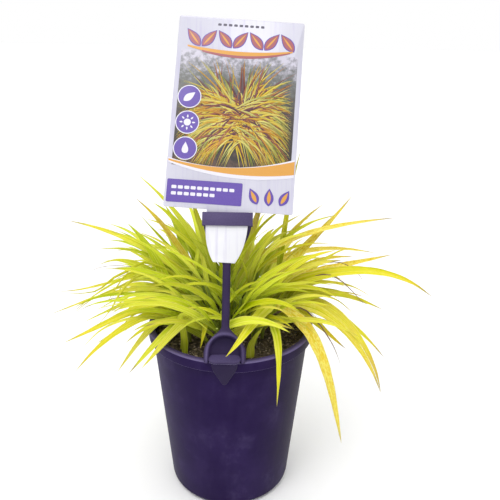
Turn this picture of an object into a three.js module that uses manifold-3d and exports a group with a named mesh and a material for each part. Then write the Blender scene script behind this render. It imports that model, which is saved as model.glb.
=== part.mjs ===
// Golden Japanese forest grass in a nursery pot, with a printed label held by a
// small spade-shaped clip on the rim. Millimetres, +Z up. The origin is the centre
// of the pot's underside, and the label faces -Y.
//
// Group: pot, soil, stem_01 ... stem_38 (a culm with its leaves), label_holder, label_card.

import * as THREE from "three";
import { mergeVertices } from "three/addons/utils/BufferGeometryUtils.js";
import Module from "manifold-3d";

const wasm = await Module();
wasm.setup();

// ---- Driving dimensions: millimetres and degrees ----

const FIT_GAP = 0.35; // between pieces that touch

const POT_HEIGHT = 152;
const POT_RADIUS = 70; // outside of the rim
const POT_BASE_RADIUS = 52.5;
const POT_CORNER = 6.8; // rounding between base and wall
const POT_SHOULDER_RADIUS = 66; // outside of the wall just under the rim
const POT_SHOULDER_DROP = 11.5; // from the rim's top to that shoulder
const POT_WALL = 1.3;
const POT_FLOOR = 2.4;
const POT_SIDES = 36;
const RIM_SKIRT_HEIGHT = 8.4; // the band that hangs round the top
const RIM_INNER_RADIUS = 64.7;
const RIM_EASE = 0.8; // chamfer along the rim's edges
const DRAIN_HOLES = 6;
const DRAIN_HOLE_RADIUS = 4.5;
const DRAIN_RING_RADIUS = 38;
const DRAIN_GROOVE = { width: 5, depth: 1 };

const SOIL_DROP = 12; // from the rim's top to the soil
const SOIL_RIPPLE = 1.1;
const SOIL_RINGS = [52, 34, 16];

const STEM_COUNT = 38;
const CROWN_RADIUS = 41; // the clump where it leaves the soil
const CROWN_CENTRE = [-3, 7];
const CULM_FOOT_RADIUS = 1.5;
const CULM_TOP_RADIUS = 0.9;
const CULM_SIDES = 4;
const CULM_STATIONS = [0, 0.5, 1]; // the straight runs it is made of
const CULM_FOOT_DEPTH = 10;
const STEM_HOLE_RADIUS = 2.5;
const LEAVES_PER_STEM = 8;
const LEAF_RINGS = [[0, 4], [68, 5], [100, 6]]; // cross-sections of a leaf longer than each
const LEAF_WIDTHS = [3.6, 10.4]; // of the leaves that fill the clump
const LEAF_TAPER = { root: 0.12, opening: 3.6, curve: 1.65, point: 0.9 };
const LEAF_KEEL = 0.95; // thickness at the midrib
const LEAF_CLEARANCE = 0.45; // least space between leaves of different stems
const LEAF_FACING = 38; // how far the leaves at the sides turn their faces to the front
const LEAF_SIDE_CUT = 0.15; // how much shorter the filling leaves at the sides are
// The soil that stays open at the label's right: its outline from above, how high the room over
// it reaches, and how far that room slants to the front on each millimetre up.
const OPEN_SOIL = {
  outline: [[17, -33], [27, -41], [44, -31], [60, -12], [58, 8], [36, 10], [22, -8]],
  rise: 32,
  slant: 1.73,
};
const LEAF_PARTING = 52; // the filling leaves keep this far round from the label's side
const LEAST_EDGE = 0.001; // corners nearer than this count as one
// Where leaves join a culm, corners that come out nearer than this are drawn together.
const LEAF_WELDS = [0.01, 0.02, 0.03, 0.05, 0.08];
const SEED = 20;

const HOLDER_X = -2.3;
const HOLDER_LEAN = 27; // backwards, from upright
const HOLDER_BLADE = { height: 31, half: 16.2, thickness: 3.2 };
const HOLDER_SCOOP = { half: 11.9, top: 21.8, depth: 1.7 };
const HOLDER_SHAFT = { half: 3.05, thickness: 3.2, top: 80 };
const HOLDER_GRIP = { half: 19.5, bottom: 104, top: 114.4, front: 3.4, back: 3.8 };
const HOLDER_SLOT = { half: 17.7, front: 1.25, back: -0.25 };
const HOLDER_NOSE = { half: 9.9, drop: 17.4, thickness: 2.5 };
const HOLDER_TONGUE = { half: 8, drop: 9.3, thickness: 2 };

const CARD = { width: 100.5, height: 156, thickness: 0.8, back: 0.1, corner: 1.6 };
const CARD_FOOT = 116; // up the holder from the rim to the card's bottom edge
const CARD_TILT = -3.1; // clockwise, seen from the front
const CARD_TONGUE = { half: 16.3, neck: 12, end: 8.4, length: 40.5 };

// Leaves that set the clump's outline, the ones to place first at the top. A row holds
// where the leaf leaves its stem and where its tip is, as x, y and height above the rim,
// then its pitch at the root and at the tip, its width, and how far it bows sideways.
const OUTLINE_LEAVES = [
  [[56, -10, 22], [-1, -79, 11], 18, -12, 11, 0],
  [[28, -20, 24], [94, -50, -86], 14, -76, 12.5, 2],
  [[-25, 5, 30], [-140, 25, 80], 38, 8, 8, 0],
  [[-20, 10, 55], [-80, 35, 118], 56, 36, 6.5, 0],
  [[-22, 0, 42], [-77, 5, 106], 58, 42, 8, 0],
  [[-30, 10, 32], [-79, 30, 84], 48, 50, 5, -6],
  [[-30, 15, 38], [-88, 40, 66], 38, 10, 5.5, 0],
  [[-25, 0, 33], [-92, 15, 60], 28, 20, 7, 5],
  [[-25, 20, 30], [-161, 45, 4], 28, -8, 5, 0],
  [[-25, 0, 28], [-159, 10, -2], 24, -26, 5, 4],
  [[-25, 15, 30], [-146, 30, -10], 28, -42, 4.5, 0],
  [[-25, 20, 26], [-115, 45, -5], 34, -58, 4.5, -6],
  [[-15, -5, 30], [-137, -25, -10], 8, -24, 11, 0],
  [[-15, -12, 16], [-127, -40, -22], 20, -46, 10, -5],
  [[-22, -14, 16], [-92, -50, -18], 12, -42, 8, -6],
  [[-16, -20, 16], [-78, -60, -14], 26, -38, 9, -6],
  [[-6, -28, 16], [-60, -64, -18], 18, -44, 9, 0],
  [[-24, -6, 16], [-112, -18, -14], 16, -30, 9, 0],
  [[-24, 8, 18], [-128, 10, -6], 20, -28, 6, 0],
  [[-28, 14, 16], [-118, 42, 4], 16, -18, 5, 0],
  [[35, 5, 28], [98, 15, 108], 52, 54, 10, 0],
  [[18, 5, 44], [133, 10, 94], 42, 8, 7, 0],
  [[35, 20, 40], [132, 60, 42], 24, -16, 6, 0],
  [[40, 28, 36], [117, 80, 30], 22, -16, 6, 0],
  [[28, 5, 30], [139, 25, 54], 26, 10, 9, 0],
  [[30, 0, 22], [168, 0, 29], 34, -40, 12, 0],
  [[35, 8, 12], [130, 5, 11], 26, -24, 10, 0],
  [[38, -5, 20], [127, -30, -49], 30, -70, 9, 8],
  [[40, 2, 20], [130, -20, -56], 36, -78, 9, 14],
  [[38, 5, 16], [133, -8, -29], 28, -50, 7, 0],
  [[35, -10, 20], [98, -25, -10], 2, -35, 8, 0],
  [[26, -28, 16], [32, -74, -36], 22, -74, 8, 24],
  [[30, 20, 60], [77, 32, 96], 48, 34, 7, 0],
  [[38, 22, 62], [67, 42, 137], 70, 62, 6, 0],
  [[-16, 12, 30], [-29, 22, 122], 80, 80, 9, 0],
  [[16, 8, 30], [29, 20, 120], 78, 76, 9, 0],
  [[-14, -22, 20], [-22, -52, 2], 30, -55, 6, 0],
];

const COLOURS = {
  pot: 0x35285a,
  soil: 0x3a2a1e,
  holder: 0x3d3060,
  card: 0xe9e4f4,
  leafLow: 0x86a019,
  leafHigh: 0xd8d635,
};

// ---- Small tools ----

const UP = new THREE.Vector3(0, 0, 1);
const RIM_TOP = POT_HEIGHT;
const radians = THREE.MathUtils.degToRad;
const lerp = THREE.MathUtils.lerp;

/** A repeatable source of random numbers from 0 to 1. */
function randomSource(seed) {
  let state = seed;
  return () => {
    state = (state + 0x6d2b79f5) | 0;
    let mixed = Math.imul(state ^ (state >>> 15), 1 | state);
    mixed = (mixed + Math.imul(mixed ^ (mixed >>> 7), 61 | mixed)) ^ mixed;
    return ((mixed ^ (mixed >>> 14)) >>> 0) / 2 ** 32;
  };
}

/** The unit vector that heads along azimuth and climbs at pitch, both in degrees. */
function heading(azimuth, pitch) {
  const flat = Math.cos(radians(pitch));
  return new THREE.Vector3(
    flat * Math.cos(radians(azimuth)),
    flat * Math.sin(radians(azimuth)),
    Math.sin(radians(pitch)),
  );
}

/** A closed geometry as a solid that can be joined and cut. */
function solidOf(geometry) {
  const bare = new THREE.BufferGeometry();
  bare.setAttribute("position", geometry.getAttribute("position").clone());
  bare.setIndex(geometry.getIndex());
  const merged = mergeVertices(bare, 1e-4);
  return new wasm.Manifold(
    new wasm.Mesh({
      numProp: 3,
      vertProperties: Float32Array.from(merged.getAttribute("position").array),
      triVerts: Uint32Array.from(merged.getIndex().array),
    }),
  );
}

/** A solid as a geometry with flat-shaded faces. */
function geometryOf(solid) {
  const { vertProperties, triVerts } = solid.getMesh();
  const shared = new THREE.BufferGeometry();
  shared.setAttribute("position", new THREE.BufferAttribute(vertProperties, 3));
  shared.setIndex(new THREE.BufferAttribute(triVerts, 1));
  const geometry = shared.toNonIndexed();
  geometry.computeVertexNormals();
  return geometry;
}

/** True if no edge of the solid lies on another once near corners are taken as one. */
function isClean(solid, nearness) {
  const position = geometryOf(solid).getAttribute("position");
  const bare = new THREE.BufferGeometry().setAttribute("position", position);
  const index = mergeVertices(bare, nearness).getIndex().array;
  const edges = new Set();
  for (let k = 0; k < index.length; k += 3) {
    const corners = [index[k], index[k + 1], index[k + 2]];
    corners.forEach((corner, j) => edges.add(`${corner} ${corners[(j + 1) % 3]}`));
  }
  return edges.size === index.length;
}

/** Joins solids, and draws together the corners that come out too near each other. */
function joined(solids) {
  const whole = wasm.Manifold.union(solids).asOriginal();
  const versions = LEAF_WELDS.map((reach) => whole.simplify(reach));
  const isSafe = (solid) => isClean(solid, LEAST_EDGE) && isClean(solid, LEAST_EDGE / 5);
  return versions.find(isSafe) ?? versions[0];
}

/** Turns a profile of [radius, height] points about the Z axis. */
function revolve(profile, sides) {
  const points = profile.map(([radius, height]) => new THREE.Vector2(radius, height));
  return new THREE.LatheGeometry(points, sides).rotateX(Math.PI / 2);
}

/** An outline of [x, y] points pushed along +Z from low to high. */
function slab(outline, low, high) {
  const isList = Array.isArray(outline);
  const shape = isList ? new THREE.Shape(outline.map((p) => new THREE.Vector2(...p))) : outline;
  const options = { depth: high - low, bevelEnabled: false, curveSegments: 6 };
  return new THREE.ExtrudeGeometry(shape, options).translate(0, 0, low);
}

/** Joins loops of equal length into one skin. The loops turn clockwise, seen along the sweep. */
function loft(loops, apex) {
  const sides = loops[0].length;
  const points = loops.flat();
  const faces = [];
  for (let k = 0; k + 1 < loops.length; k++) {
    for (let j = 0; j < sides; j++) {
      const a = k * sides + j;
      const b = k * sides + ((j + 1) % sides);
      faces.push(a, b, b + sides, a, b + sides, a + sides);
    }
  }
  const last = (loops.length - 1) * sides;
  for (let j = 1; j + 1 < sides; j++) {
    faces.push(0, j + 1, j);
    if (!apex) faces.push(last, last + j, last + j + 1);
  }
  if (apex) {
    points.push(apex);
    for (let j = 0; j < sides; j++) faces.push(last + j, last + ((j + 1) % sides), points.length - 1);
  }
  return new THREE.BufferGeometry().setFromPoints(points).setIndex(faces);
}

// ---- Pot ----

function potWallRadius(height) {
  const top = POT_HEIGHT - POT_SHOULDER_DROP;
  return lerp(POT_BASE_RADIUS, POT_SHOULDER_RADIUS, (height - POT_CORNER) / (top - POT_CORNER));
}

/** The rounding between a floor and a wall, from the floor outwards and up. */
function cornerArc(radius, size, floor, steps) {
  return Array.from({ length: steps + 1 }, (_, k) => {
    const angle = (k / steps) * (Math.PI / 2);
    return [radius - size + size * Math.sin(angle), floor + size - size * Math.cos(angle)];
  });
}

function potProfile() {
  const shoulder = POT_HEIGHT - POT_SHOULDER_DROP;
  const skirtLow = POT_HEIGHT - RIM_SKIRT_HEIGHT;
  const recess = POT_HEIGHT - 2 * POT_WALL;
  const inner = cornerArc(POT_BASE_RADIUS - POT_WALL, POT_CORNER - POT_WALL, POT_FLOOR, 2);
  return [
    [0, 0],
    ...cornerArc(POT_BASE_RADIUS, POT_CORNER, 0, 3),
    [POT_SHOULDER_RADIUS, shoulder],
    [POT_SHOULDER_RADIUS + 0.2, recess],
    [POT_RADIUS - POT_WALL - 0.2, recess],
    [POT_RADIUS - POT_WALL, skirtLow],
    [POT_RADIUS - 0.3, skirtLow],
    [POT_RADIUS, POT_HEIGHT - RIM_EASE],
    [POT_RADIUS - RIM_EASE, POT_HEIGHT],
    [RIM_INNER_RADIUS + RIM_EASE, POT_HEIGHT],
    [RIM_INNER_RADIUS, POT_HEIGHT - RIM_EASE],
    [POT_SHOULDER_RADIUS - POT_WALL, shoulder],
    ...inner.reverse(),
    [0, POT_FLOOR],
  ];
}

function makePot() {
  let pot = solidOf(revolve(potProfile(), POT_SIDES));
  for (let k = 0; k < DRAIN_HOLES; k++) {
    const turn = (k / DRAIN_HOLES) * 2 * Math.PI;
    const hole = new THREE.CylinderGeometry(DRAIN_HOLE_RADIUS, DRAIN_HOLE_RADIUS, 4 * POT_FLOOR, 8);
    hole.rotateX(Math.PI / 2).translate(DRAIN_RING_RADIUS, 0, 0).rotateZ(turn);
    const reach = POT_BASE_RADIUS - DRAIN_RING_RADIUS;
    const groove = new THREE.BoxGeometry(reach, DRAIN_GROOVE.width, 2 * DRAIN_GROOVE.depth);
    groove.translate(DRAIN_RING_RADIUS + reach / 2, 0, 0).rotateZ(turn);
    pot = pot.subtract(solidOf(hole)).subtract(solidOf(groove));
  }
  return pot;
}

// ---- Soil ----

function soilHeight(x, y) {
  const ripple = Math.sin(0.21 * x + 1) * Math.cos(0.19 * y) + 0.6 * Math.sin(0.37 * x - 0.29 * y);
  return RIM_TOP - SOIL_DROP + (SOIL_RIPPLE * ripple) / 1.6;
}

function makeSoil(stems) {
  const top = RIM_TOP - SOIL_DROP;
  const inner = (height) => potWallRadius(height) - POT_WALL - FIT_GAP;
  const profile = [
    [0, POT_FLOOR + FIT_GAP],
    ...cornerArc(POT_BASE_RADIUS - POT_WALL - FIT_GAP, POT_CORNER - POT_WALL, POT_FLOOR + FIT_GAP, 2),
    [inner(top), top],
    ...SOIL_RINGS.map((radius) => [radius, top]),
    [0, top],
  ];
  const geometry = revolve(profile, POT_SIDES);
  const position = geometry.getAttribute("position");
  for (let k = 0; k < position.count; k++) {
    if (position.getZ(k) > top - 1) position.setZ(k, soilHeight(position.getX(k), position.getY(k)));
  }
  let soil = solidOf(geometry);
  for (const stem of stems) {
    const depth = CULM_FOOT_DEPTH + 1;
    const hole = new THREE.CylinderGeometry(STEM_HOLE_RADIUS, STEM_HOLE_RADIUS, 2 * depth, CULM_SIDES);
    hole.rotateX(Math.PI / 2).translate(stem.foot.x, stem.foot.y, stem.foot.z);
    soil = soil.subtract(solidOf(hole));
  }
  return soil;
}

// ---- Leafy stems ----

/** Where a blade's cross-section lies: its middle, to the right, and out of the upper face. */
function sectionFrame(curve, t, roll) {
  const centre = curve.getPointAt(t);
  const forward = curve.getTangentAt(t);
  const right = new THREE.Vector3().crossVectors(forward, UP).normalize();
  right.applyAxisAngle(forward, radians(roll));
  const out = new THREE.Vector3().crossVectors(right, forward);
  return { centre, right, out };
}

/** Share of a leaf's full width at t: narrow at the sheath, widest in its first third, long taper. */
function leafTaper(t) {
  const { root, opening, curve, point } = LEAF_TAPER;
  return Math.min(1, root + opening * t) * (1 - t ** curve) ** point;
}

/** A blade with a flat upper face and a keel under its midrib, from ring `first` to the tip. */
function bladeSolid(leaf, first) {
  const loops = [];
  for (let k = first; k < leaf.rings; k++) {
    const t = k / leaf.rings;
    const { centre, right, out } = sectionFrame(leaf.curve, t, lerp(leaf.roll[0], leaf.roll[1], t));
    const half = (leaf.width * leafTaper(t)) / 2;
    const keel = lerp(LEAF_KEEL, 0.7 * LEAF_KEEL, t);
    loops.push([
      centre.clone().addScaledVector(right, -half),
      centre.clone().addScaledVector(right, half),
      centre.clone().addScaledVector(out, -keel),
    ]);
  }
  return solidOf(loft(loops, leaf.curve.getPointAt(1)));
}

function leafCurve(root, tip, rootPitch, tipPitch, bow) {
  const chord = tip.clone().sub(root);
  const azimuth = THREE.MathUtils.radToDeg(Math.atan2(chord.y, chord.x));
  const handle = 0.38 * chord.length();
  return new THREE.CubicBezierCurve3(
    root,
    root.clone().addScaledVector(heading(azimuth + bow, rootPitch), handle),
    tip.clone().addScaledVector(heading(azimuth - bow, tipPitch), -handle),
    tip,
  );
}

/** The culms: evenly spread over the crown, upright in its middle and leaning out at its edge. */
function layOutStems(random) {
  const goldenAngle = 137.508;
  return Array.from({ length: STEM_COUNT }, (_, k) => {
    const out = Math.sqrt((k + 0.5) / STEM_COUNT);
    const azimuth = k * goldenAngle + lerp(-8, 8, random());
    const x = CROWN_CENTRE[0] + out * CROWN_RADIUS * Math.cos(radians(azimuth));
    const y = CROWN_CENTRE[1] + out * CROWN_RADIUS * Math.sin(radians(azimuth));
    const ground = new THREE.Vector3(x, y, soilHeight(x, y));
    const foot = ground.clone().addScaledVector(UP, -CULM_FOOT_DEPTH);
    const pitch = lerp(84, 42, out) + lerp(-5, 5, random());
    const length = lerp(60, 36, out) * lerp(0.88, 1.12, random());
    const top = ground.clone().addScaledVector(heading(azimuth, (pitch + 90) / 2), length);
    const curve = new THREE.CubicBezierCurve3(
      ground,
      ground.clone().addScaledVector(UP, length / 3),
      top.clone().addScaledVector(heading(azimuth, pitch), -length / 3),
      top,
    );
    return { name: `stem_${String(k + 1).padStart(2, "0")}`, out, azimuth, pitch, foot, curve, leaves: [] };
  });
}

/** A point on the culm's axis, which runs straight from station to station. */
function culmPoint(stem, t) {
  const k = Math.max(1, CULM_STATIONS.findIndex((station) => station >= t));
  const [low, high] = [CULM_STATIONS[k - 1], CULM_STATIONS[k]];
  return stem.curve.getPointAt(low).lerp(stem.curve.getPointAt(high), (t - low) / (high - low));
}

function culmSolid(stem) {
  const right = heading(stem.azimuth - 90, 0);
  const ring = (centre, forward, radius) => {
    const out = new THREE.Vector3().crossVectors(right, forward);
    return Array.from({ length: CULM_SIDES }, (_, j) => {
      const angle = (j / CULM_SIDES) * 2 * Math.PI;
      const corner = centre.clone().addScaledVector(right, radius * Math.cos(angle));
      return corner.addScaledVector(out, -radius * Math.sin(angle));
    });
  };
  const loops = CULM_STATIONS.map((t) => {
    const radius = lerp(CULM_FOOT_RADIUS, CULM_TOP_RADIUS, t);
    return ring(stem.curve.getPointAt(t), stem.curve.getTangentAt(t), radius);
  });
  return solidOf(loft([ring(stem.foot, UP, CULM_FOOT_RADIUS), ...loops]));
}

/** Holds every solid that a new leaf has to stay clear of. */
class Clearance {
  constructor() {
    this.pieces = [];
  }

  add(solid, stem = null, beyond = null) {
    this.pieces.push({ solid, beyond, stem, box: solid.boundingBox() });
  }

  /** True if the leaf clears every other piece, and its own stem's leaves past their roots. */
  isFree(solid, outer, stem) {
    const box = solid.boundingBox();
    return this.pieces.every((piece) => {
      for (let axis = 0; axis < 3; axis++) {
        if (piece.box.min[axis] - LEAF_CLEARANCE > box.max[axis]) return true;
        if (piece.box.max[axis] + LEAF_CLEARANCE < box.min[axis]) return true;
      }
      const [here, there] = piece.stem === stem ? [outer, piece.beyond] : [solid, piece.solid];
      return here.minGap(there, LEAF_CLEARANCE) >= LEAF_CLEARANCE;
    });
  }
}

/** Small bends to try on a leaf, the gentlest first: [turn, lift] in degrees. */
const BENDS = [[0, 0]];
for (let size = 3; size <= 21; size += 3) {
  for (const lift of [0, size, -size]) {
    for (const turn of [size, -size, 0]) {
      if (turn || lift) BENDS.push([turn, lift]);
    }
  }
}
const GENTLE_BENDS = BENDS.filter(([turn, lift]) => Math.max(Math.abs(turn), Math.abs(lift)) <= 9);

/** Swings a leaf's tip about its root. */
function bent(root, tip, [turn, lift]) {
  const arm = tip.clone().sub(root);
  const side = new THREE.Vector3().crossVectors(arm, UP).normalize();
  arm.applyAxisAngle(side, radians(lift)).applyAxisAngle(UP, radians(turn));
  return root.clone().add(arm);
}

/** Adds the leaf to its stem where some small bend leaves it clear of everything else. */
function growLeaf(stem, wish, clearance, bends = BENDS) {
  for (const bend of bends) {
    const tip = bent(wish.root, wish.tip, bend);
    const pitches = [wish.rootPitch + bend[1], wish.tipPitch + bend[1]];
    const curve = leafCurve(wish.root, tip, ...pitches, wish.bow);
    const rings = wish.rings ?? LEAF_RINGS.findLast(([reach]) => curve.getLength() > reach)[1];
    const leaf = { ...wish, curve, rings };
    const solid = bladeSolid(leaf, 0);
    const outer = bladeSolid(leaf, 1);
    if (clearance.isFree(solid, outer, stem.name)) {
      clearance.add(solid, stem.name, outer);
      stem.leaves.push(solid);
      return true;
    }
  }
  return false;
}

/** The leaf joints that are still free, the nearest to a point first. */
function freeJoints(stems, point) {
  const pairs = stems.flatMap((stem) => stem.joints.map((joint) => ({ stem, joint })));
  const free = pairs.filter(({ joint }) => !joint.taken);
  return free.sort((a, b) => a.joint.point.distanceTo(point) - b.joint.point.distanceTo(point));
}

function growOutlineLeaves(stems, random, clearance) {
  for (const [from, to, rootPitch, tipPitch, width, bow] of OUTLINE_LEAVES) {
    const wanted = new THREE.Vector3(from[0], from[1], RIM_TOP + from[2]);
    const tip = new THREE.Vector3(to[0], to[1], RIM_TOP + to[2]);
    const facing = LEAF_FACING * Math.sign(to[0] - from[0]);
    const roll = [facing + lerp(-12, 12, random()), facing + lerp(-16, 16, random())];
    const wish = { tip, rootPitch, tipPitch, width, bow, roll, rings: 7 };
    for (const { stem, joint } of freeJoints(stems, wanted).slice(0, 6)) {
      joint.taken = growLeaf(stem, { ...wish, root: joint.point }, clearance, GENTLE_BENDS);
      if (joint.taken) break;
    }
  }
}

/** An azimuth swung away from -Y, where the leaves part round the label. */
function parted(azimuth) {
  const fromFront = THREE.MathUtils.euclideanModulo(azimuth + 270, 360) - 180;
  const share = Math.min(1, Math.abs(fromFront) / 180);
  return -90 + Math.sign(fromFront || 1) * lerp(LEAF_PARTING, 180, share);
}

/** The leaves that fill the clump: alternate up each culm, arching over, more upright at its heart. */
function growFillingLeaves(stem, random, clearance) {
  stem.joints.forEach((joint, k) => {
    if (joint.taken) return;
    const up = k / (stem.joints.length - 1);
    const side = k % 2 === 0 ? 1 : -1;
    const spread = lerp(95, 50, stem.out) * (1 - 0.55 * up);
    const azimuth = parted(stem.azimuth + side * spread + lerp(-46, 46, random()));
    const facing = Math.max(0, -Math.sin(radians(azimuth)));
    const turn = LEAF_FACING * Math.cos(radians(azimuth));
    const culmPitch = lerp(80, stem.pitch, up);
    const rootPitch = Math.min(80, culmPitch - lerp(34, 12, up) + 14 * facing + lerp(-20, 20, random()));
    const droop = lerp(78, 46, up) * lerp(0.8, 1.25, random());
    const length = lerp(66, 100, Math.sin(Math.PI * (0.15 + 0.6 * up))) * lerp(0.8, 1.16, random());
    const chordPitch = rootPitch - 0.42 * droop;
    const sideways = Math.cos(radians(azimuth)) ** 2;
    const reach = length * (1 - 0.5 * facing ** 2 - LEAF_SIDE_CUT * sideways);
    const wish = {
      root: joint.point,
      tip: joint.point.clone().addScaledVector(heading(azimuth, chordPitch), reach),
      rootPitch,
      tipPitch: rootPitch - droop,
      width: lerp(...LEAF_WIDTHS, random() ** 1.3),
      bow: lerp(-9, 9, random()),
      roll: [turn + lerp(-22, 22, random()), turn + lerp(-28, 28, random())],
    };
    growLeaf(stem, wish, clearance);
  });
}

/** The room over the open soil, slanting to the front, that the filling leaves keep clear of. */
function roomOverSoil() {
  const { outline, rise, slant } = OPEN_SOIL;
  const lean = new THREE.Matrix4().makeShear(0, 0, 0, 0, 0, -slant);
  return solidOf(slab(outline, 0, rise).applyMatrix4(lean).translate(0, 0, RIM_TOP - SOIL_DROP));
}

/** Grows leaves on every stem, clear of each other and of the obstacles. */
function growClump(stems, obstacles, random) {
  const clearance = new Clearance();
  obstacles.forEach((solid) => clearance.add(solid));
  for (const stem of stems) {
    stem.culm = culmSolid(stem);
    stem.joints = Array.from({ length: LEAVES_PER_STEM }, (_, k) => {
      const t = lerp(0.14, 0.97, k / (LEAVES_PER_STEM - 1));
      return { point: culmPoint(stem, t), taken: false };
    });
    clearance.add(stem.culm, stem.name, stem.culm);
  }
  growOutlineLeaves(stems, random, clearance);
  clearance.add(roomOverSoil());
  for (const stem of stems) growFillingLeaves(stem, random, clearance);
}

// ---- Label holder and card ----

// The holder's own axes: x across, y up its shaft from the rim, z out of its front.
const HOLDER_PLACE = new THREE.Matrix4()
  .makeTranslation(HOLDER_X, -POT_RADIUS + 1, RIM_TOP)
  .multiply(new THREE.Matrix4().makeRotationX(radians(90 - HOLDER_LEAN)));

function spadeOutline(half, bottom, top, neck) {
  const shape = new THREE.Shape();
  const widest = lerp(bottom, top, 0.14);
  shape.moveTo(-neck, top);
  shape.bezierCurveTo(-neck, lerp(top, widest, 0.16), -half, lerp(top, widest, 0.52), -half, widest);
  shape.quadraticCurveTo(-half, bottom, -half * 0.84, bottom);
  shape.lineTo(half * 0.84, bottom);
  shape.quadraticCurveTo(half, bottom, half, widest);
  shape.bezierCurveTo(half, lerp(top, widest, 0.52), neck, lerp(top, widest, 0.16), neck, top);
  return shape;
}

function scoopOutline() {
  const { half, top } = HOLDER_SCOOP;
  const shape = new THREE.Shape();
  shape.moveTo(-half, 2);
  shape.lineTo(half, 2);
  shape.bezierCurveTo(half, 0.55 * top, half / 2, top, 0, top);
  shape.bezierCurveTo(-half / 2, top, -half, 0.55 * top, -half, 2);
  return shape;
}

/** The D-shaped frame between the shaft and the grip, with its opening. */
function frameOutline() {
  const { half, bottom } = HOLDER_GRIP;
  const neck = HOLDER_SHAFT.half;
  const foot = HOLDER_SHAFT.top - 6;
  const limb = 3.2;
  const shape = new THREE.Shape();
  shape.moveTo(-neck, foot);
  shape.lineTo(neck, foot);
  shape.bezierCurveTo(neck + 2, foot + 8, half - 3, foot + 14, half - 0.5, bottom + 3);
  shape.lineTo(-half + 0.5, bottom + 3);
  shape.bezierCurveTo(-half + 3, foot + 14, -neck - 2, foot + 8, -neck, foot);
  const opening = new THREE.Path();
  opening.moveTo(0, foot + 2 * limb);
  opening.bezierCurveTo(neck, foot + 9, half - 3 - limb, foot + 15, half - 0.5 - limb, bottom);
  opening.lineTo(-half + 0.5 + limb, bottom);
  opening.bezierCurveTo(-half + 3 + limb, foot + 15, -neck, foot + 9, 0, foot + 2 * limb);
  shape.holes.push(opening);
  return shape;
}

/** A U over the rim: a sloping ledge, a pointed nose outside and a short tongue inside. */
function makeRimClip() {
  const outside = POT_RADIUS + FIT_GAP;
  const inside = RIM_INNER_RADIUS - 2.8 * FIT_GAP;
  const low = RIM_TOP + FIT_GAP;
  const ledge = [
    [-outside - HOLDER_NOSE.thickness - 0.6, low],
    [-outside - HOLDER_NOSE.thickness - 0.6, low + 1.4],
    [-inside - 1.4, low + 6],
    [-inside + HOLDER_TONGUE.thickness, low + 6],
    [-inside + HOLDER_TONGUE.thickness, low],
  ];
  const { half: noseHalf, drop } = HOLDER_NOSE;
  const nose = new THREE.Shape();
  nose.moveTo(-noseHalf, 1);
  nose.bezierCurveTo(-noseHalf, -5, -6.6, -8.2, -2.9, -drop + 2.6);
  nose.quadraticCurveTo(0, -drop - 2.6, 2.9, -drop + 2.6);
  nose.bezierCurveTo(6.6, -8.2, noseHalf, -5, noseHalf, 1);
  // An outline in x and height stands up when its own +Z is turned to point along -Y.
  const upright = (geometry) => solidOf(geometry.rotateX(Math.PI / 2).translate(HOLDER_X, 0, low));
  const ledgeAcross = slab(ledge, -HOLDER_SCOOP.half, HOLDER_SCOOP.half);
  // Its outline is in y and height, so the slab's +Z is turned to point along +X.
  ledgeAcross.applyMatrix4(new THREE.Matrix4().set(0, 0, 1, HOLDER_X, 1, 0, 0, 0, 0, 1, 0, 0, 0, 0, 0, 1));
  const { half, drop: tongueDrop, thickness } = HOLDER_TONGUE;
  const tongue = [[-half, -tongueDrop], [half, -tongueDrop], [half, 1], [-half, 1]];
  return solidOf(ledgeAcross)
    .add(upright(slab(nose, outside, outside + HOLDER_NOSE.thickness)))
    .add(upright(slab(tongue, inside - thickness, inside)));
}

function makeHolder() {
  const { half, bottom, top, front, back } = HOLDER_GRIP;
  const place = (geometry) => solidOf(geometry.applyMatrix4(HOLDER_PLACE));
  const bar = (low, high) => [[-half, low], [half, low], [half, high], [-half, high]];
  const shaftHalf = HOLDER_SHAFT.half;
  const spade = spadeOutline(HOLDER_BLADE.half, 2.2, HOLDER_BLADE.height, shaftHalf);
  const shaft = [
    [-shaftHalf, 26],
    [shaftHalf, 26],
    [shaftHalf, HOLDER_SHAFT.top],
    [-shaftHalf, HOLDER_SHAFT.top],
  ];
  const opening = HOLDER_SLOT.front - HOLDER_SLOT.back;
  const slot = new THREE.BoxGeometry(2 * HOLDER_SLOT.half, 3 * (top - bottom), opening);
  slot.translate(0, (top + bottom) / 2, (HOLDER_SLOT.front + HOLDER_SLOT.back) / 2);
  return place(slab(spade, -HOLDER_BLADE.thickness, 0))
    .subtract(place(slab(scoopOutline(), -HOLDER_SCOOP.depth, 2)))
    .add(place(slab(shaft, -HOLDER_SHAFT.thickness - 0.6, -0.6)))
    .add(place(slab(frameOutline(), -back, -1)))
    .add(place(slab(bar(bottom, top), -1.5, front)))
    .add(place(slab(bar(bottom, top + 2), -back, -0.5)))
    .subtract(place(slot))
    .add(makeRimClip());
}

function cardOutline() {
  const { width, height, corner } = CARD;
  const { half, neck, end, length } = CARD_TONGUE;
  const shape = new THREE.Shape();
  shape.moveTo(-width / 2 + corner, 0);
  shape.lineTo(-half, 0);
  shape.lineTo(-half, -neck);
  shape.quadraticCurveTo(-half + 0.6, -0.72 * length, -end, -length);
  shape.lineTo(end, -length);
  shape.quadraticCurveTo(half - 0.6, -0.72 * length, half, -neck);
  shape.lineTo(half, 0);
  shape.lineTo(width / 2 - corner, 0);
  shape.absarc(width / 2 - corner, corner, corner, -Math.PI / 2, 0);
  shape.absarc(width / 2 - corner, height - corner, corner, 0, Math.PI / 2);
  shape.absarc(-width / 2 + corner, height - corner, corner, Math.PI / 2, Math.PI);
  shape.absarc(-width / 2 + corner, corner, corner, Math.PI, 1.5 * Math.PI);
  return shape;
}

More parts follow.
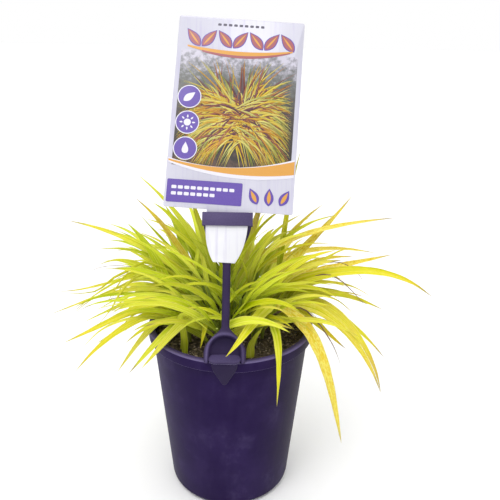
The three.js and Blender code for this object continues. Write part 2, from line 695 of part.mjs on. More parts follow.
function makeCard() {
  const geometry = slab(cardOutline(), CARD.back, CARD.back + CARD.thickness);
  geometry.rotateZ(radians(CARD_TILT)).translate(0, CARD_FOOT, 0).applyMatrix4(HOLDER_PLACE);
  return solidOf(geometry);
}

// ---- Assembly ----

function material(colour, roughness) {
  return new THREE.MeshStandardMaterial({ color: colour, roughness, metalness: 0 });
}

function leafMaterial(stem) {
  const low = new THREE.Color(COLOURS.leafLow);
  return material(low.lerp(new THREE.Color(COLOURS.leafHigh), stem.out), 0.55);
}

const grass = new THREE.Group();

function addPiece(name, solid, finish) {
  const mesh = new THREE.Mesh(geometryOf(solid), finish);
  mesh.name = name;
  grass.add(mesh);
}

const pot = makePot();
const holder = makeHolder();
const card = makeCard();
const random = randomSource(SEED);
const stems = layOutStems(random);
const soil = makeSoil(stems);
growClump(stems, [pot, soil, holder, card], random);

addPiece("pot", pot, material(COLOURS.pot, 0.5));
addPiece("soil", soil, material(COLOURS.soil, 0.95));
for (const stem of stems) addPiece(stem.name, joined([stem.culm, ...stem.leaves]), leafMaterial(stem));
addPiece("label_holder", holder, material(COLOURS.holder, 0.55));
addPiece("label_card", card, material(COLOURS.card, 0.4));

export default grass;
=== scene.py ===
"""Looks for a pot of golden Japanese forest grass with its label card.

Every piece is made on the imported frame. Lengths are in metres, +Z is up, the origin is the
centre of the pot's underside and the label faces -Y.
"""

import itertools
import math
from contextlib import contextmanager

import bmesh
import bpy
import numpy as np
from bpy.props import FloatProperty, FloatVectorProperty, IntProperty, PointerProperty
from bpy.types import Operator, Panel, PropertyGroup
from mathutils import Matrix, Vector, noise


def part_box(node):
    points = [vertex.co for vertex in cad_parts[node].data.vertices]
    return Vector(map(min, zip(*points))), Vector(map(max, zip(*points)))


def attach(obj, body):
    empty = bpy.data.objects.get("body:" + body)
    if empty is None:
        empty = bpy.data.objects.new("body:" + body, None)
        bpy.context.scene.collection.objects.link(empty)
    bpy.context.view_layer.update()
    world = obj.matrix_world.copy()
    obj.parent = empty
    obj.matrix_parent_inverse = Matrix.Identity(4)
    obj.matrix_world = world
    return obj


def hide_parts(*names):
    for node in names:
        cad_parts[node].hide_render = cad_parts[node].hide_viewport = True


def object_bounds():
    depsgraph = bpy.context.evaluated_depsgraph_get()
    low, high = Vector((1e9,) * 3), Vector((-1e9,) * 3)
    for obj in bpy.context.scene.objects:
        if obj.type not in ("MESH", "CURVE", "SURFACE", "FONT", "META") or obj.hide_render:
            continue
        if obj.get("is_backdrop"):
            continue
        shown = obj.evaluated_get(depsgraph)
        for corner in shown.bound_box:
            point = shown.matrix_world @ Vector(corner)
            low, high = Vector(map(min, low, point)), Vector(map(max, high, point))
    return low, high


bl_info = {
    "name": "Potted forest grass",
    "version": (1, 0, 0),
    "blender": (4, 5, 0),
    "location": "3D View > Sidebar > Forest grass",
    "description": "Builds the leaves, pot, soil, label and stage of a potted grass",
    "category": "Object",
}

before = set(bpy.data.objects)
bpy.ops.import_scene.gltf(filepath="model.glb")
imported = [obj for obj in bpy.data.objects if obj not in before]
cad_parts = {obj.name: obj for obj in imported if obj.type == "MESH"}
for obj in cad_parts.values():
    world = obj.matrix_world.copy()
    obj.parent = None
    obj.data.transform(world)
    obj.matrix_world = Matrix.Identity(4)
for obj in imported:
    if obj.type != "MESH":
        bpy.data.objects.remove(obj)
CAD_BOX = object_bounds()

MM = 0.001
TURN = 2 * math.pi
STEMS = sorted(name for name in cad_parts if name.startswith("stem_"))
RIM_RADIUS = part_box("pot")[1].x
RIM_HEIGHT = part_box("pot")[1].z
SOIL_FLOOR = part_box("soil")[0].z
SOIL_DROP = 12 * MM  # from the rim's top to the soil
CULM_DEPTH = 10 * MM  # how far a culm's foot reaches into the soil
# A leaf's width along its length: its share at the root, how fast it opens, and its long point.
TAPER_ROOT, TAPER_OPENING, TAPER_CURVE, TAPER_POINT = 0.12, 3.6, 1.65, 0.9
LEAST_HALF = 0.04 * MM  # half a blade's width is never less


# ---- Colours and numbers ----


def ink(red, green, blue):
    """A display colour from 0 to 255 as the linear colour that Blender's shaders take."""
    shares = [value / 255 for value in (red, green, blue)]
    return tuple(s / 12.92 if s <= 0.04045 else ((s + 0.055) / 1.055) ** 2.4 for s in shares)


def lerp(a, b, t):
    return a + (b - a) * t


def smoothstep(low, high, value):
    t = min(1.0, max(0.0, (value - low) / (high - low)))
    return t * t * (3 - 2 * t)


def sockets_of(named):
    """Values by socket name, from keywords that are written with underscores."""
    return {name.replace("_", " "): value for name, value in named.items()}


# ---- Settings ----


def number(name, description, default, high, low=0.0, **options):
    return FloatProperty(name=name, description=description, default=default, min=low, max=high, **options)


def length(name, description, default, low=0.0):
    return number(name, description, default, 1.0, low, unit="LENGTH", precision=5)


def angle(name, description, degrees):
    return FloatProperty(name=name, description=description, default=math.radians(degrees), unit="ROTATION")


def share(name, description, default):
    return number(name, description, default, 1.0, subtype="FACTOR")


def colour(name, description, default):
    limits = {"size": 3, "min": 0.0, "max": 1.0}
    return FloatVectorProperty(name=name, description=description, default=default, subtype="COLOR", **limits)


class PotSettings(PropertyGroup):
    base_radius: length("Base radius", "Outside radius of the pot at its foot", 52.5 * MM)
    shoulder_radius: length("Shoulder radius", "Outside radius of the wall just under the rim", 66 * MM)
    inner_radius: length("Rim's inner radius", "Inside radius of the rim's flat top", 64.7 * MM)
    wall: length("Wall", "Thickness of the wall", 1.3 * MM)
    floor: length("Floor", "Thickness of the floor", 2.4 * MM)
    corner: length("Foot rounding", "Radius between floor and wall", 6.8 * MM)
    band: length("Rim band", "Height of the band that hangs round the top", 8.4 * MM)
    shoulder_drop: length("Shoulder drop", "From the rim's top down to the shoulder", 11.5 * MM)
    plastic: colour("Plastic", "Colour of the moulded pot", ink(31, 15, 60))
    # Pale colour of the dust and of the painted highlight on the rim's top and lips.
    dust_and_highlight_tint: colour("Scuff", "Colour of the worn edges and dusty patches", ink(104, 94, 132))
    roughness: share("Roughness", "Roughness of the moulded surface", 0.42)


class SoilSettings(PropertyGroup):
    drop: length("Drop", "From the rim's top down to the soil", SOIL_DROP)
    ripple: length("Ripple", "Height of the broad ripples", 1.1 * MM)
    crumb: length("Crumb", "Height of the fine crumbs", 1.5 * MM)
    bits: number("Bits", "Bark bits on each square metre", 90000.0, 300000.0)
    clods: number("Clods", "Clods on each square metre", 15000.0, 60000.0)
    fibres: number("Fibres", "Fibres on each square metre", 9000.0, 50000.0)
    seed: IntProperty(name="Seed", description="Seed of the scattered bits", default=7)
    damp: colour("Damp mix", "Colour of the damp potting mix", ink(76, 65, 46))
    bark: colour("Bark", "Colour of the lighter bark", ink(150, 132, 114))


class GrassSettings(PropertyGroup):
    stations: IntProperty(
        name="Stations", description="Cross-sections along each blade", default=30, min=6, max=80
    )
    thickness: length("Thickness", "Thickness of a blade at its midrib", 0.34 * MM)
    fold: share("Fold", "How far a blade's edges rise from its midrib, per half width", 0.42)
    wave: length("Wave", "Height of the waves along a blade's edges", 0.45 * MM)
    wave_length: length("Wave length", "Length of one wave along a blade", 21 * MM)
    culm_foot: length("Culm foot", "Radius of a culm where it leaves the soil", 1.35 * MM)
    culm_top: length("Culm top", "Radius of a culm at its top", 0.75 * MM)
    seed: IntProperty(name="Seed", description="Seed of the leaves' colours", default=11)
    base: colour("Base", "Colour of the shaded lower blades and culms", ink(150, 170, 2))
    lime: colour("Lime", "Colour of the young blades", ink(208, 218, 2))
    bright: colour("Bright", "Colour of the paler veins and margins", ink(238, 234, 122))
    gold: colour("Gold", "Colour of the ripening blades", ink(226, 205, 18))
    orange: colour("Orange", "Colour of the ripest blades", ink(220, 158, 34))
    blush: colour("Blush", "Colour of the tinged patches", ink(166, 118, 84))
    dry: colour("Dry", "Colour of the dried tips", ink(142, 120, 92))


class LabelSettings(PropertyGroup):
    place_x: length("Place", "Where the holder stands along the rim", -2.3 * MM, low=-0.05)
    lean: angle("Lean", "How far the holder leans back from upright", 27)
    tilt: angle("Tilt", "How far the card turns in the grip", -3.1)
    card_foot: length("Card foot", "Up the holder from the rim to the card's bottom edge", 116 * MM)
    card_front: length("Card front", "The card's printed face, out of the holder's plane", 0.9 * MM)
    plastic: colour("Plastic", "Colour of the moulded holder", ink(45, 34, 66))
    # Pale colour of the dust and of the painted highlights on the holder.
    pale_dust_and_highlight: colour("Bloom", "Colour of the dusty bloom on the holder", ink(92, 82, 120))
    # Where the grip's paler tone of dust and painted highlight begins; the card's coat begins there too.
    grip_height: length("Bloom height", "Height above the floor where the dusty grip begins", 243 * MM)
    card: colour("Card", "Colour of the card's coated face", ink(196, 195, 208))
    tongue: colour("Tongue", "Colour of the card's bare tongue", ink(224, 224, 229))
    violet: colour("Violet ink", "Colour of the violet print", ink(74, 38, 150))
    golden: colour("Golden ink", "Colour of the golden print", ink(204, 142, 26))
    rose: colour("Rose ink", "Colour of the rose print", ink(150, 66, 74))
    slate: colour("Slate ink", "Colour of the dark print", ink(62, 56, 78))


class StageSettings(PropertyGroup):
    camera: FloatVectorProperty(
        name="Camera",
        description="Where the camera stands",
        default=(0.0154, -0.4621, 0.3889),
        subtype="XYZ",
        unit="LENGTH",
    )
    pitch: angle("Pitch", "How far the camera looks down", 20.38)
    roll: angle("Roll", "How far the camera rolls", 0.97)
    lens: number("Lens", "Focal length in millimetres", 43.2, 200.0, low=10.0)
    key: number("Key", "Power of the key light", 6.5, 200.0, unit="POWER")
    overhead: number("Overhead", "Strength of the sky overhead", 1.75, 9.0)
    around: number("Around", "Strength of the sky all round", 0.5, 9.0)
    horizon: number("Horizon", "Strength of the horizon", 1.0, 9.0)
    floor: colour("Floor", "Colour of the pale floor", (0.93, 0.93, 0.93))


class ForestGrassSettings(PropertyGroup):
    pot: PointerProperty(type=PotSettings)
    soil: PointerProperty(type=SoilSettings)
    grass: PointerProperty(type=GrassSettings)
    label: PointerProperty(type=LabelSettings)
    stage: PointerProperty(type=StageSettings)


# ---- Node trees ----


def method(operation, swapped=False):
    """A method of a wire that adds one Math node, with the wire as its first term or its last."""

    def add(self, *others):
        return self.math(operation, *((*others, self) if swapped else (self, *others)))

    return add


class Wire:
    """An output socket. Arithmetic on it adds Math nodes to its tree."""

    def __init__(self, tree, socket):
        self.tree, self.socket = tree, socket

    def math(self, operation, *terms, clamp=False):
        settings = {"operation": operation, "use_clamp": clamp}
        return self.tree.add("ShaderNodeMath", settings, dict(enumerate(terms)))

    __add__, __radd__ = method("ADD"), method("ADD", swapped=True)
    __sub__, __rsub__ = method("SUBTRACT"), method("SUBTRACT", swapped=True)
    __mul__, __rmul__ = method("MULTIPLY"), method("MULTIPLY", swapped=True)
    __truediv__, __pow__ = method("DIVIDE"), method("POWER")
    sine, size = method("SINE"), method("ABSOLUTE")
    at_most, at_least = method("MINIMUM"), method("MAXIMUM")

    def clamped(self):
        return self.math("ADD", self, 0.0, clamp=True)

    def step(self, low, high):
        """Rises smoothly from 0 at low to 1 at high."""
        limits = {"Value": self, "From Min": low, "From Max": high}
        return self.tree.add("ShaderNodeMapRange", {"interpolation_type": "SMOOTHSTEP"}, limits)


class NodeTree:
    """Adds nodes to a shader or geometry node tree."""

    def __init__(self, tree):
        self.tree = tree
        tree.nodes.clear()

    def add(self, kind, settings=None, inputs=None, output=0):
        """One node of a kind: its settings first, then the values or links of its sockets."""
        node = self.tree.nodes.new(kind)
        for name, value in (settings or {}).items():
            if name == "stops":
                self._set_stops(node.color_ramp, value)
            else:
                setattr(node, name, value)
        for key, value in (inputs or {}).items():
            socket = node.inputs[key]
            if isinstance(value, Wire):
                self.tree.links.new(value.socket, socket)
            else:
                socket.default_value = (*value, 1.0) if socket.type == "RGBA" and len(value) == 3 else value
        return Wire(self, node.outputs[output]) if node.outputs else node

    @staticmethod
    def _set_stops(ramp, stops):
        while len(ramp.elements) < len(stops):
            ramp.elements.new(1.0)
        for element, (position, tint) in zip(ramp.elements, stops):
            element.position, element.color = position, (*tint, 1.0)

    def vector(self, operation, *terms, **named):
        return self.add("ShaderNodeVectorMath", {"operation": operation}, {**dict(enumerate(terms)), **named})

    def scaled(self, vector, factor):
        return self.vector("SCALE", vector, Scale=factor)

    def total(self, first, *others):
        for other in others:
            first = self.vector("ADD", first, other)
        return first

    def combine(self, x, y, z):
        return self.add("ShaderNodeCombineXYZ", {}, {"X": x, "Y": y, "Z": z})

    def axis(self, vector, name):
        """The X, Y or Z of a vector."""
        return self.add("ShaderNodeSeparateXYZ", {}, {0: vector}, output=name)

    def ramp(self, factor, *stops):
        """A colour that follows the factor through stops of (position, colour)."""
        return self.add("ShaderNodeValToRGB", {"stops": stops}, {0: factor})


class Surface(NodeTree):
    """A material's node tree."""

    def __init__(self, name):
        self.material = bpy.data.materials.new(name)
        self.material.use_nodes = True
        super().__init__(self.material.node_tree)

    def attribute(self, name):
        return self.add("ShaderNodeAttribute", {"attribute_name": name}, output="Fac")

    def place(self, stretch=(1, 1, 1)):
        """Object coordinates, stretched."""
        coordinates = self.add("ShaderNodeTexCoord", output="Object")
        return self.add("ShaderNodeMapping", {}, {"Vector": coordinates, "Scale": stretch})

    def noise(self, scale, detail=3.0, roughness=0.55, at=None):
        """Noise at a vector, which is the plain object coordinates when none is given."""
        inputs = {"Vector": at or self.place(), "Scale": scale, "Detail": detail, "Roughness": roughness}
        return self.add("ShaderNodeTexNoise", {}, inputs)

    def mix(self, factor, a, b):
        return self.add("ShaderNodeMix", {"data_type": "RGBA"}, {0: factor, 6: a, 7: b}, output=2)

    def bump(self, height, distance, strength):
        return self.add("ShaderNodeBump", {}, {"Height": height, "Distance": distance, "Strength": strength})

    def finish(self, **sockets):
        """The shader and the output."""
        shader = self.add("ShaderNodeBsdfPrincipled", {}, sockets_of(sockets))
        self.add("ShaderNodeOutputMaterial", {}, {"Surface": shader})
        return self.material


class Shape(NodeTree):
    """A geometry node tree with named inputs."""

    def __init__(self, name):
        super().__init__(bpy.data.node_groups.new(name, "GeometryNodeTree"))
        self.tree.interface.new_socket("Geometry", in_out="OUTPUT", socket_type="NodeSocketGeometry")
        self.source = self.tree.nodes.new("NodeGroupInput")

    def input(self, name, kind, default=None):
        item = self.tree.interface.new_socket(name, in_out="INPUT", socket_type=f"NodeSocket{kind}")
        if default is not None:
            item.default_value = default
        return Wire(self, self.source.outputs[name])

    def node(self, kind, settings=None, **sockets):
        return self.add(f"GeometryNode{kind}", settings, sockets_of(sockets))

    def attribute(self, name, kind="FLOAT"):
        return self.node("InputNamedAttribute", {"data_type": kind}, Name=name)

    def store(self, geometry, name, value, kind="FLOAT", domain="POINT"):
        settings = {"data_type": kind, "domain": domain}
        return self.node("StoreNamedAttribute", settings, Geometry=geometry, Name=name, Value=value)

    def random(self, kind, low, high, seed):
        """A random value between low and high for each element: a FLOAT or a FLOAT_VECTOR."""
        first = 2 if kind == "FLOAT" else 0
        inputs = {first: low, first + 1: high, "Seed": seed}
        return self.add("FunctionNodeRandomValue", {"data_type": kind}, inputs, output=first // 2)

    def finish(self, geometry, finish):
        """Realizes, smooths and gives the geometry its material."""
        geometry = self.node("RealizeInstances", Geometry=geometry)
        geometry = self.node("SetShadeSmooth", Geometry=geometry)
        geometry = self.node("SetMaterial", Geometry=geometry, Material=finish)
        self.add("NodeGroupOutput", {}, {"Geometry": geometry})
        return self.tree


# ---- Meshes ----


def placed(name, data):
    """A new object in the scene."""
    made = bpy.data.objects.new(name, data)
    bpy.context.scene.collection.objects.link(made)
    return made


def new_piece(name, vertices=(), faces=(), edges=(), material=None):
    mesh = bpy.data.meshes.new(name)
    mesh.from_pydata([tuple(v) for v in vertices], list(edges), [tuple(f) for f in faces])
    mesh.update()
    if material:
        mesh.materials.append(material)
    return placed(name, mesh)


@contextmanager
def edited(mesh):
    """The mesh as a bmesh, which is written back at the end."""
    shape = bmesh.new()
    shape.from_mesh(mesh)
    yield shape
    shape.to_mesh(mesh)
    shape.free()


def smooth(piece, degrees):
    """Smooth faces that stay sharp where they meet at more than an angle."""
    piece.data.shade_smooth()
    piece.data.set_sharp_from_angle(angle=math.radians(degrees))
    return piece


def applied(piece):
    """Turns the piece with its modifiers into a plain mesh."""
    depsgraph = bpy.context.evaluated_depsgraph_get()
    mesh = bpy.data.meshes.new_from_object(piece.evaluated_get(depsgraph), depsgraph=depsgraph)
    piece.modifiers.clear()
    old, piece.data = piece.data, mesh
    bpy.data.meshes.remove(old)
    mesh.name = piece.name
    return piece


def grown(piece, tree, **inputs):
    """Runs a geometry node tree on the piece."""
    modifier, values = piece.modifiers.new(tree.name, "NODES"), sockets_of(inputs)
    modifier.node_group = tree
    for item in tree.interface.items_tree:
        if item.in_out == "INPUT" and item.name in values:
            modifier[item.identifier] = values[item.name]
    return applied(piece)


def seat(piece, slot, *nodes):
    """Fixes a finished piece to the frame."""
    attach(piece, "root")
    if nodes:
        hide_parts(*nodes)
    return piece


def set_attribute(mesh, name, values):
    """A number or a vector for each of the mesh's corners."""
    kind, field = ("FLOAT_VECTOR", "vector") if np.ndim(values[0]) else ("FLOAT", "value")
    attribute = mesh.attributes.new(name, kind, "POINT")
    attribute.data.foreach_set(field, np.asarray(values, np.float32).ravel())


def mirrored(points):
    """Points (x, y) on the other side of x = 0, in reverse."""
    return [(-x, y) for x, y in reversed(points)]


def disc(x, y, radius, steps=40):
    """Points all round a circle about (x, y), anticlockwise."""
    turns = [TURN * k / steps for k in range(steps)]
    return [(x + radius * math.cos(turn), y + radius * math.sin(turn)) for turn in turns]


def ring_sides(rings, around):
    """The sides of a stack of rings, each as the corner where it starts and the next one round."""
    for k in range(rings):
        for j in range(around):
            yield k * around + j, k * around + (j + 1) % around


def tube_faces(rings, around):
    """The faces between a tube's rings, and its two caps."""
    sides = [(a, b, b + around, a + around) for a, b in ring_sides(rings - 1, around)]
    last = (rings - 1) * around
    return [*sides, tuple(reversed(range(around))), tuple(range(last, last + around))]


def rounded(corners, steps=5):
    """A polyline of (x, y, radius) corners with each corner turned into an arc."""
    points = []
    for k, (x, y, radius) in enumerate(corners):
        here = Vector((x, y))
        if radius <= 0 or k in (0, len(corners) - 1):
            points.append((x, y))
            continue
        before = (Vector(corners[k - 1][:2]) - here).normalized()
        after = (Vector(corners[k + 1][:2]) - here).normalized()
        half = before.angle(after) / 2
        centre = here + (before + after).normalized() * (radius / math.sin(half))
        start = here + before * (radius / math.tan(half)) - centre
        end = here + after * (radius / math.tan(half)) - centre
        for j in range(steps + 1):
            points.append(tuple(centre + start.slerp(end, j / steps) * radius))
    return points


def lathe(name, profile, segments, material):
    """Turns a closed profile of (radius, height) about Z. Its first and last points are on the axis."""
    vertices, faces = [(0, 0, profile[0][1]), (0, 0, profile[-1][1])], []
    ring = profile[1:-1]
    for k in range(segments):
        turn = TURN * k / segments
        vertices += [(r * math.cos(turn), r * math.sin(turn), z) for r, z in ring]
    count = len(ring)
    for k in range(segments):
        a, b = 2 + k * count, 2 + (k + 1) % segments * count
        faces.append((0, b, a))
        faces += [(a + j, b + j, b + j + 1, a + j + 1) for j in range(count - 1)]
        faces.append((1, a + count - 1, b + count - 1))
    return new_piece(name, vertices, faces, material=material)


def welded(node, near=1e-6):
    """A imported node's corners and triangles, with the corners that lie in one place made one."""
    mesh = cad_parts[node].data
    corners = np.zeros(len(mesh.vertices) * 3)
    mesh.vertices.foreach_get("co", corners)
    corners = corners.reshape(-1, 3)
    mesh.calc_loop_triangles()
    triangles = np.zeros(len(mesh.loop_triangles) * 3, int)
    mesh.loop_triangles.foreach_get("vertices", triangles)
    places = np.round(corners / near).astype(np.int64)
    _, first, place = np.unique(places, axis=0, return_index=True, return_inverse=True)
    triangles = place.ravel()[triangles].reshape(-1, 3)
    whole = (triangles != np.roll(triangles, 1, axis=1)).all(axis=1)
    return corners[first], triangles[whole]


def plate(outline, low, high):
    """A closed slab's corners and faces from an anticlockwise outline, from low to high."""
    count = len(outline)
    vertices = [(x, y, z) for z in (low, high) for x, y in outline]
    faces = [tuple(reversed(range(count))), tuple(range(count, 2 * count))]
    faces += [(k, (k + 1) % count, count + (k + 1) % count, count + k) for k in range(count)]
    return vertices, faces


def bezier(a, b, c, d, steps=12):
    """Points along a cubic curve, without its last."""
    a, b, c, d = (np.array(p, float) for p in (a, b, c, d))

    def point(t):
        return a * (1 - t) ** 3 + 3 * b * t * (1 - t) ** 2 + 3 * c * t * t * (1 - t) + d * t**3

    return [tuple(point(t)) for t in np.arange(steps) / steps]


def cut_away(piece, cutter):
    """Cuts one closed mesh out of another and drops the cutter."""
    cut = piece.modifiers.new(cutter.name, "BOOLEAN")
    cut.operation, cut.object, cut.solver = "DIFFERENCE", cutter, "MANIFOLD"
    applied(piece)
    bpy.data.objects.remove(cutter)
    return piece


def eased(piece, width, segments=3):
    """Rounds the piece's edges."""
    ease = piece.modifiers.new("Eased edges", "BEVEL")
    ease.width, ease.segments, ease.limit_method = width, segments, "ANGLE"
    ease.angle_limit, ease.harden_normals = math.radians(30), True
    return applied(piece)


def copied(node, name, bevel, material):
    """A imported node's shape as a piece of its own, with its edges eased."""
    corners, triangles = welded(node)
    piece = new_piece(name, corners, triangles.tolist(), material=material)
    with edited(piece.data) as shape:
        bmesh.ops.dissolve_limit(shape, angle_limit=math.radians(1.5), verts=shape.verts, edges=shape.edges)
    return smooth(eased(piece, bevel, segments=2), 35)


# ---- Pot ----


def pot_finish(s):
    """Dark moulded plastic: faint clouds and a little dust, a painted highlight on the rim's top and lips,
    and painted shade towards its +X side.
    """
    t = Surface("moulded pot plastic")
    clouds = t.noise(26.0, 4.0)
    blots = t.noise(62.0, 6.0, 0.68, at=t.place((1, 1, 0.7)))
    grain = t.noise(900.0, 2.0)
    streaks = t.noise(120.0, 3.0, at=t.place((1, 1, 0.16)))
    height, side = t.axis(t.place(), "Z"), t.axis(t.place(), "X")
    dust = (clouds * 1.5 - 0.6).clamped() * 0.14 + (streaks - 0.5).clamped() * 0.12
    dust = dust + (blots - 0.5).clamped() * 0.8 * clouds.step(0.42, 0.62)
    # Painted highlight on the rim's top face; the edge attribute adds one on its outer lip and on the band's
    # lower lip.
    rim = height.step(RIM_HEIGHT - 1.2 * MM, RIM_HEIGHT - 0.1 * MM) * (0.3 + 0.5 * (streaks - 0.5))
    edge = t.attribute("edge") * (0.6 + 0.6 * grain)
    # The pale mix holds the dust and the painted highlights.
    worn = (dust + rim.at_least(edge)).clamped()
    deep = t.mix(clouds.step(0.35, 0.7), s.plastic, tuple(1.25 * c for c in s.plastic))
    # Painted shade: the plastic darkens towards the +X side.
    deep = t.mix(side.step(20 * MM, 62 * MM) * 0.65, deep, ink(24, 15, 32))
    bump = t.bump(grain * 0.25 + streaks * 0.5 + clouds, 0.25 * MM, 0.55)
    return t.finish(
        Base_Color=t.mix(worn, deep, s.dust_and_highlight_tint),
        Roughness=s.roughness + 0.22 * (clouds - 0.4) + 0.1 * grain,
        Normal=bump,
        Specular_IOR_Level=0.07,
    )


def pot_profile(s):
    """Half a section of the pot, from the middle of its underside round to the middle of its floor."""
    shoulder = RIM_HEIGHT - s.shoulder_drop
    skirt = RIM_HEIGHT - s.band
    channel = RIM_HEIGHT - 2 * s.wall
    return rounded(
        [
            (0, 0, 0),
            (s.base_radius, 0, s.corner),
            (s.shoulder_radius, shoulder, 1.2 * MM),
            (s.shoulder_radius + 0.2 * MM, channel, 0.4 * MM),
            (RIM_RADIUS - s.wall - 0.2 * MM, channel, 0.4 * MM),
            (RIM_RADIUS - s.wall, skirt, 0.3 * MM),
            (RIM_RADIUS - 0.3 * MM, skirt, 0.35 * MM),
            (RIM_RADIUS, RIM_HEIGHT, 0.8 * MM),
            (s.inner_radius, RIM_HEIGHT, 0.8 * MM),
            (s.shoulder_radius - s.wall, shoulder, 1.0 * MM),
            (s.base_radius - s.wall, s.floor, s.corner - s.wall),
            (0, s.floor, 0),
        ]
    )


def drain_cutters(s, holes=6, ring=38 * MM, hole_radius=4.5 * MM, groove=(5 * MM, 1 * MM)):
    """The holes and the grooves of the floor, as two objects to cut away."""
    cutters, reach = [new_piece(name) for name in ("drain_holes", "drain_grooves")], s.base_radius - ring
    hole = {"segments": 36, "radius1": hole_radius, "radius2": hole_radius, "depth": 4 * s.floor}
    at_hole = Matrix.Translation((ring, 0, 0))
    at_groove = Matrix.Translation((ring + reach / 2, 0, 0))
    at_groove @= Matrix.Diagonal((reach, groove[0], 2 * groove[1], 1))
    with edited(cutters[0].data) as rods, edited(cutters[1].data) as boxes:
        for k in range(holes):
            turn = Matrix.Rotation(TURN * k / holes, 4, "Z")
            bmesh.ops.create_cone(rods, cap_ends=True, matrix=turn @ at_hole, **hole)
            bmesh.ops.create_cube(boxes, size=1, matrix=turn @ at_groove)
    return cutters


def highlighted_lip(s, point):
    """1 where a point lies on the rim's outer lip or on the band's lower lip, which get a painted highlight,
    else 0.
    """
    skirt = RIM_HEIGHT - s.band
    on_top = point.z > RIM_HEIGHT - 0.7 * MM
    under = skirt - 0.1 * MM < point.z < skirt + 0.25 * MM
    outer = math.hypot(point.x, point.y) > RIM_RADIUS - 0.9 * MM
    return float(outer and (on_top or under))


class GRASS_OT_pot(Operator):
    """Builds the nursery pot: a turned shell with a banded rim and an open, grooved floor"""

    bl_idname = "forest_grass.pot"
    bl_label = "Build pot"

    def execute(self, context):
        s = context.scene.forest_grass.pot
        pot = lathe("pot_shell", pot_profile(s), 168, pot_finish(s))
        for cutter in drain_cutters(s):
            cut_away(pot, cutter)
        # The edge attribute marks the lips that get a painted highlight.
        set_attribute(pot.data, "edge", [highlighted_lip(s, vertex.co) for vertex in pot.data.vertices])
        seat(smooth(pot, 40), "pot", "pot")
        return {"FINISHED"}


# ---- Soil ----


def soil_height(s, x, y):
    """The soil's broad ripples, as the frame's soil has them; x and y in millimetres."""
    ripple = math.sin(0.21 * x + 1) * math.cos(0.19 * y) + 0.6 * math.sin(0.37 * x - 0.29 * y)
    return RIM_HEIGHT - s.drop + s.ripple * ripple / 1.6


def soil_finish(s):
    """Damp potting mix: near black hollows, brown crumbs."""
    t = Surface("damp potting mix")
    coarse = t.noise(330.0, 5.0, 0.7)
    fine = t.noise(1500.0, 3.0)
    tone = (coarse * 1.1 + fine * 0.5 - 0.35).clamped()
    tint = t.ramp(tone, (0.0, ink(30, 26, 16)), (0.45, s.damp), (0.72, ink(106, 90, 72)), (1.0, s.bark))
    bump = t.bump(coarse + fine, 0.8 * MM, 0.9)
    return t.finish(Base_Color=tint, Roughness=0.98 - 0.25 * fine, Normal=bump)


def bits_finish(s):
    """Bark bits and fibres, each of its own brown."""
    t = Surface("bark bits")
    grain = t.noise(1800.0, 3.0)
    tone = (t.attribute("bit") + 0.25 * (grain - 0.5)).clamped()
    stops = [(0.0, ink(46, 39, 26)), (0.5, ink(104, 90, 72)), (0.8, s.bark), (0.97, ink(190, 174, 156))]
    tint = t.ramp(tone, *stops)
    return t.finish(Base_Color=tint, Roughness=0.75 + 0.2 * grain, Normal=t.bump(grain, 0.3 * MM, 0.6))


def bits_tree():
    """Geometry nodes that strew bark bits and fibres over the upward faces of a soil mesh."""
    t = Shape("Strewn bits")
    ground = t.input("Ground", "Geometry")
    density = t.input("Density", "Float", 1000.0)
    low, high = t.input("Least size", "Vector"), t.input("Greatest size", "Vector")
    seed = t.input("Seed", "Int", 1)
    darkest, palest = t.input("Darkest", "Float", 0.0), t.input("Palest", "Float", 1.0)
    finish = t.input("Finish", "Material")
    normal = t.axis(t.node("InputNormal"), "Z")
    position = t.node("InputPosition")
    flat = t.vector("MULTIPLY", position, (1, 1, 0))
    reach = t.add("ShaderNodeVectorMath", {"operation": "LENGTH"}, {0: flat}, output="Value")
    level = t.add("FunctionNodeCompare", {"operation": "GREATER_THAN"}, {0: normal, 1: 0.3})
    within = t.add("FunctionNodeCompare", {"operation": "LESS_THAN"}, {0: reach, 1: RIM_RADIUS - 9 * MM})
    inside = t.add("FunctionNodeBooleanMath", {"operation": "AND"}, {0: level, 1: within})
    strewn = {"Mesh": ground, "Selection": inside, "Density": density, "Seed": seed}
    points = t.node("DistributePointsOnFaces", {"distribute_method": "RANDOM"}, **strewn)
    chunk = t.node("MeshIcoSphere", Radius=1.0, Subdivisions=2)
    lumps = t.add("ShaderNodeTexNoise", {}, {"Vector": position, "Scale": 1.3, "Detail": 2.0}, output="Color")
    lumps = t.scaled(t.vector("SUBTRACT", lumps, (0.5, 0.5, 0.5)), 1.7)
    chunk = t.node("SetPosition", Geometry=chunk, Offset=lumps)
    turn = t.random("FLOAT_VECTOR", (-0.4, -0.4, 0.0), (0.4, 0.4, TURN), seed)
    size = t.random("FLOAT_VECTOR", low, high, seed + 3)
    bits = t.node("InstanceOnPoints", Points=points, Instance=chunk, Rotation=turn, Scale=size)
    bits = t.store(bits, "bit", t.random("FLOAT", darkest, palest, seed + 5), domain="INSTANCE")
    return t.finish(bits, finish)


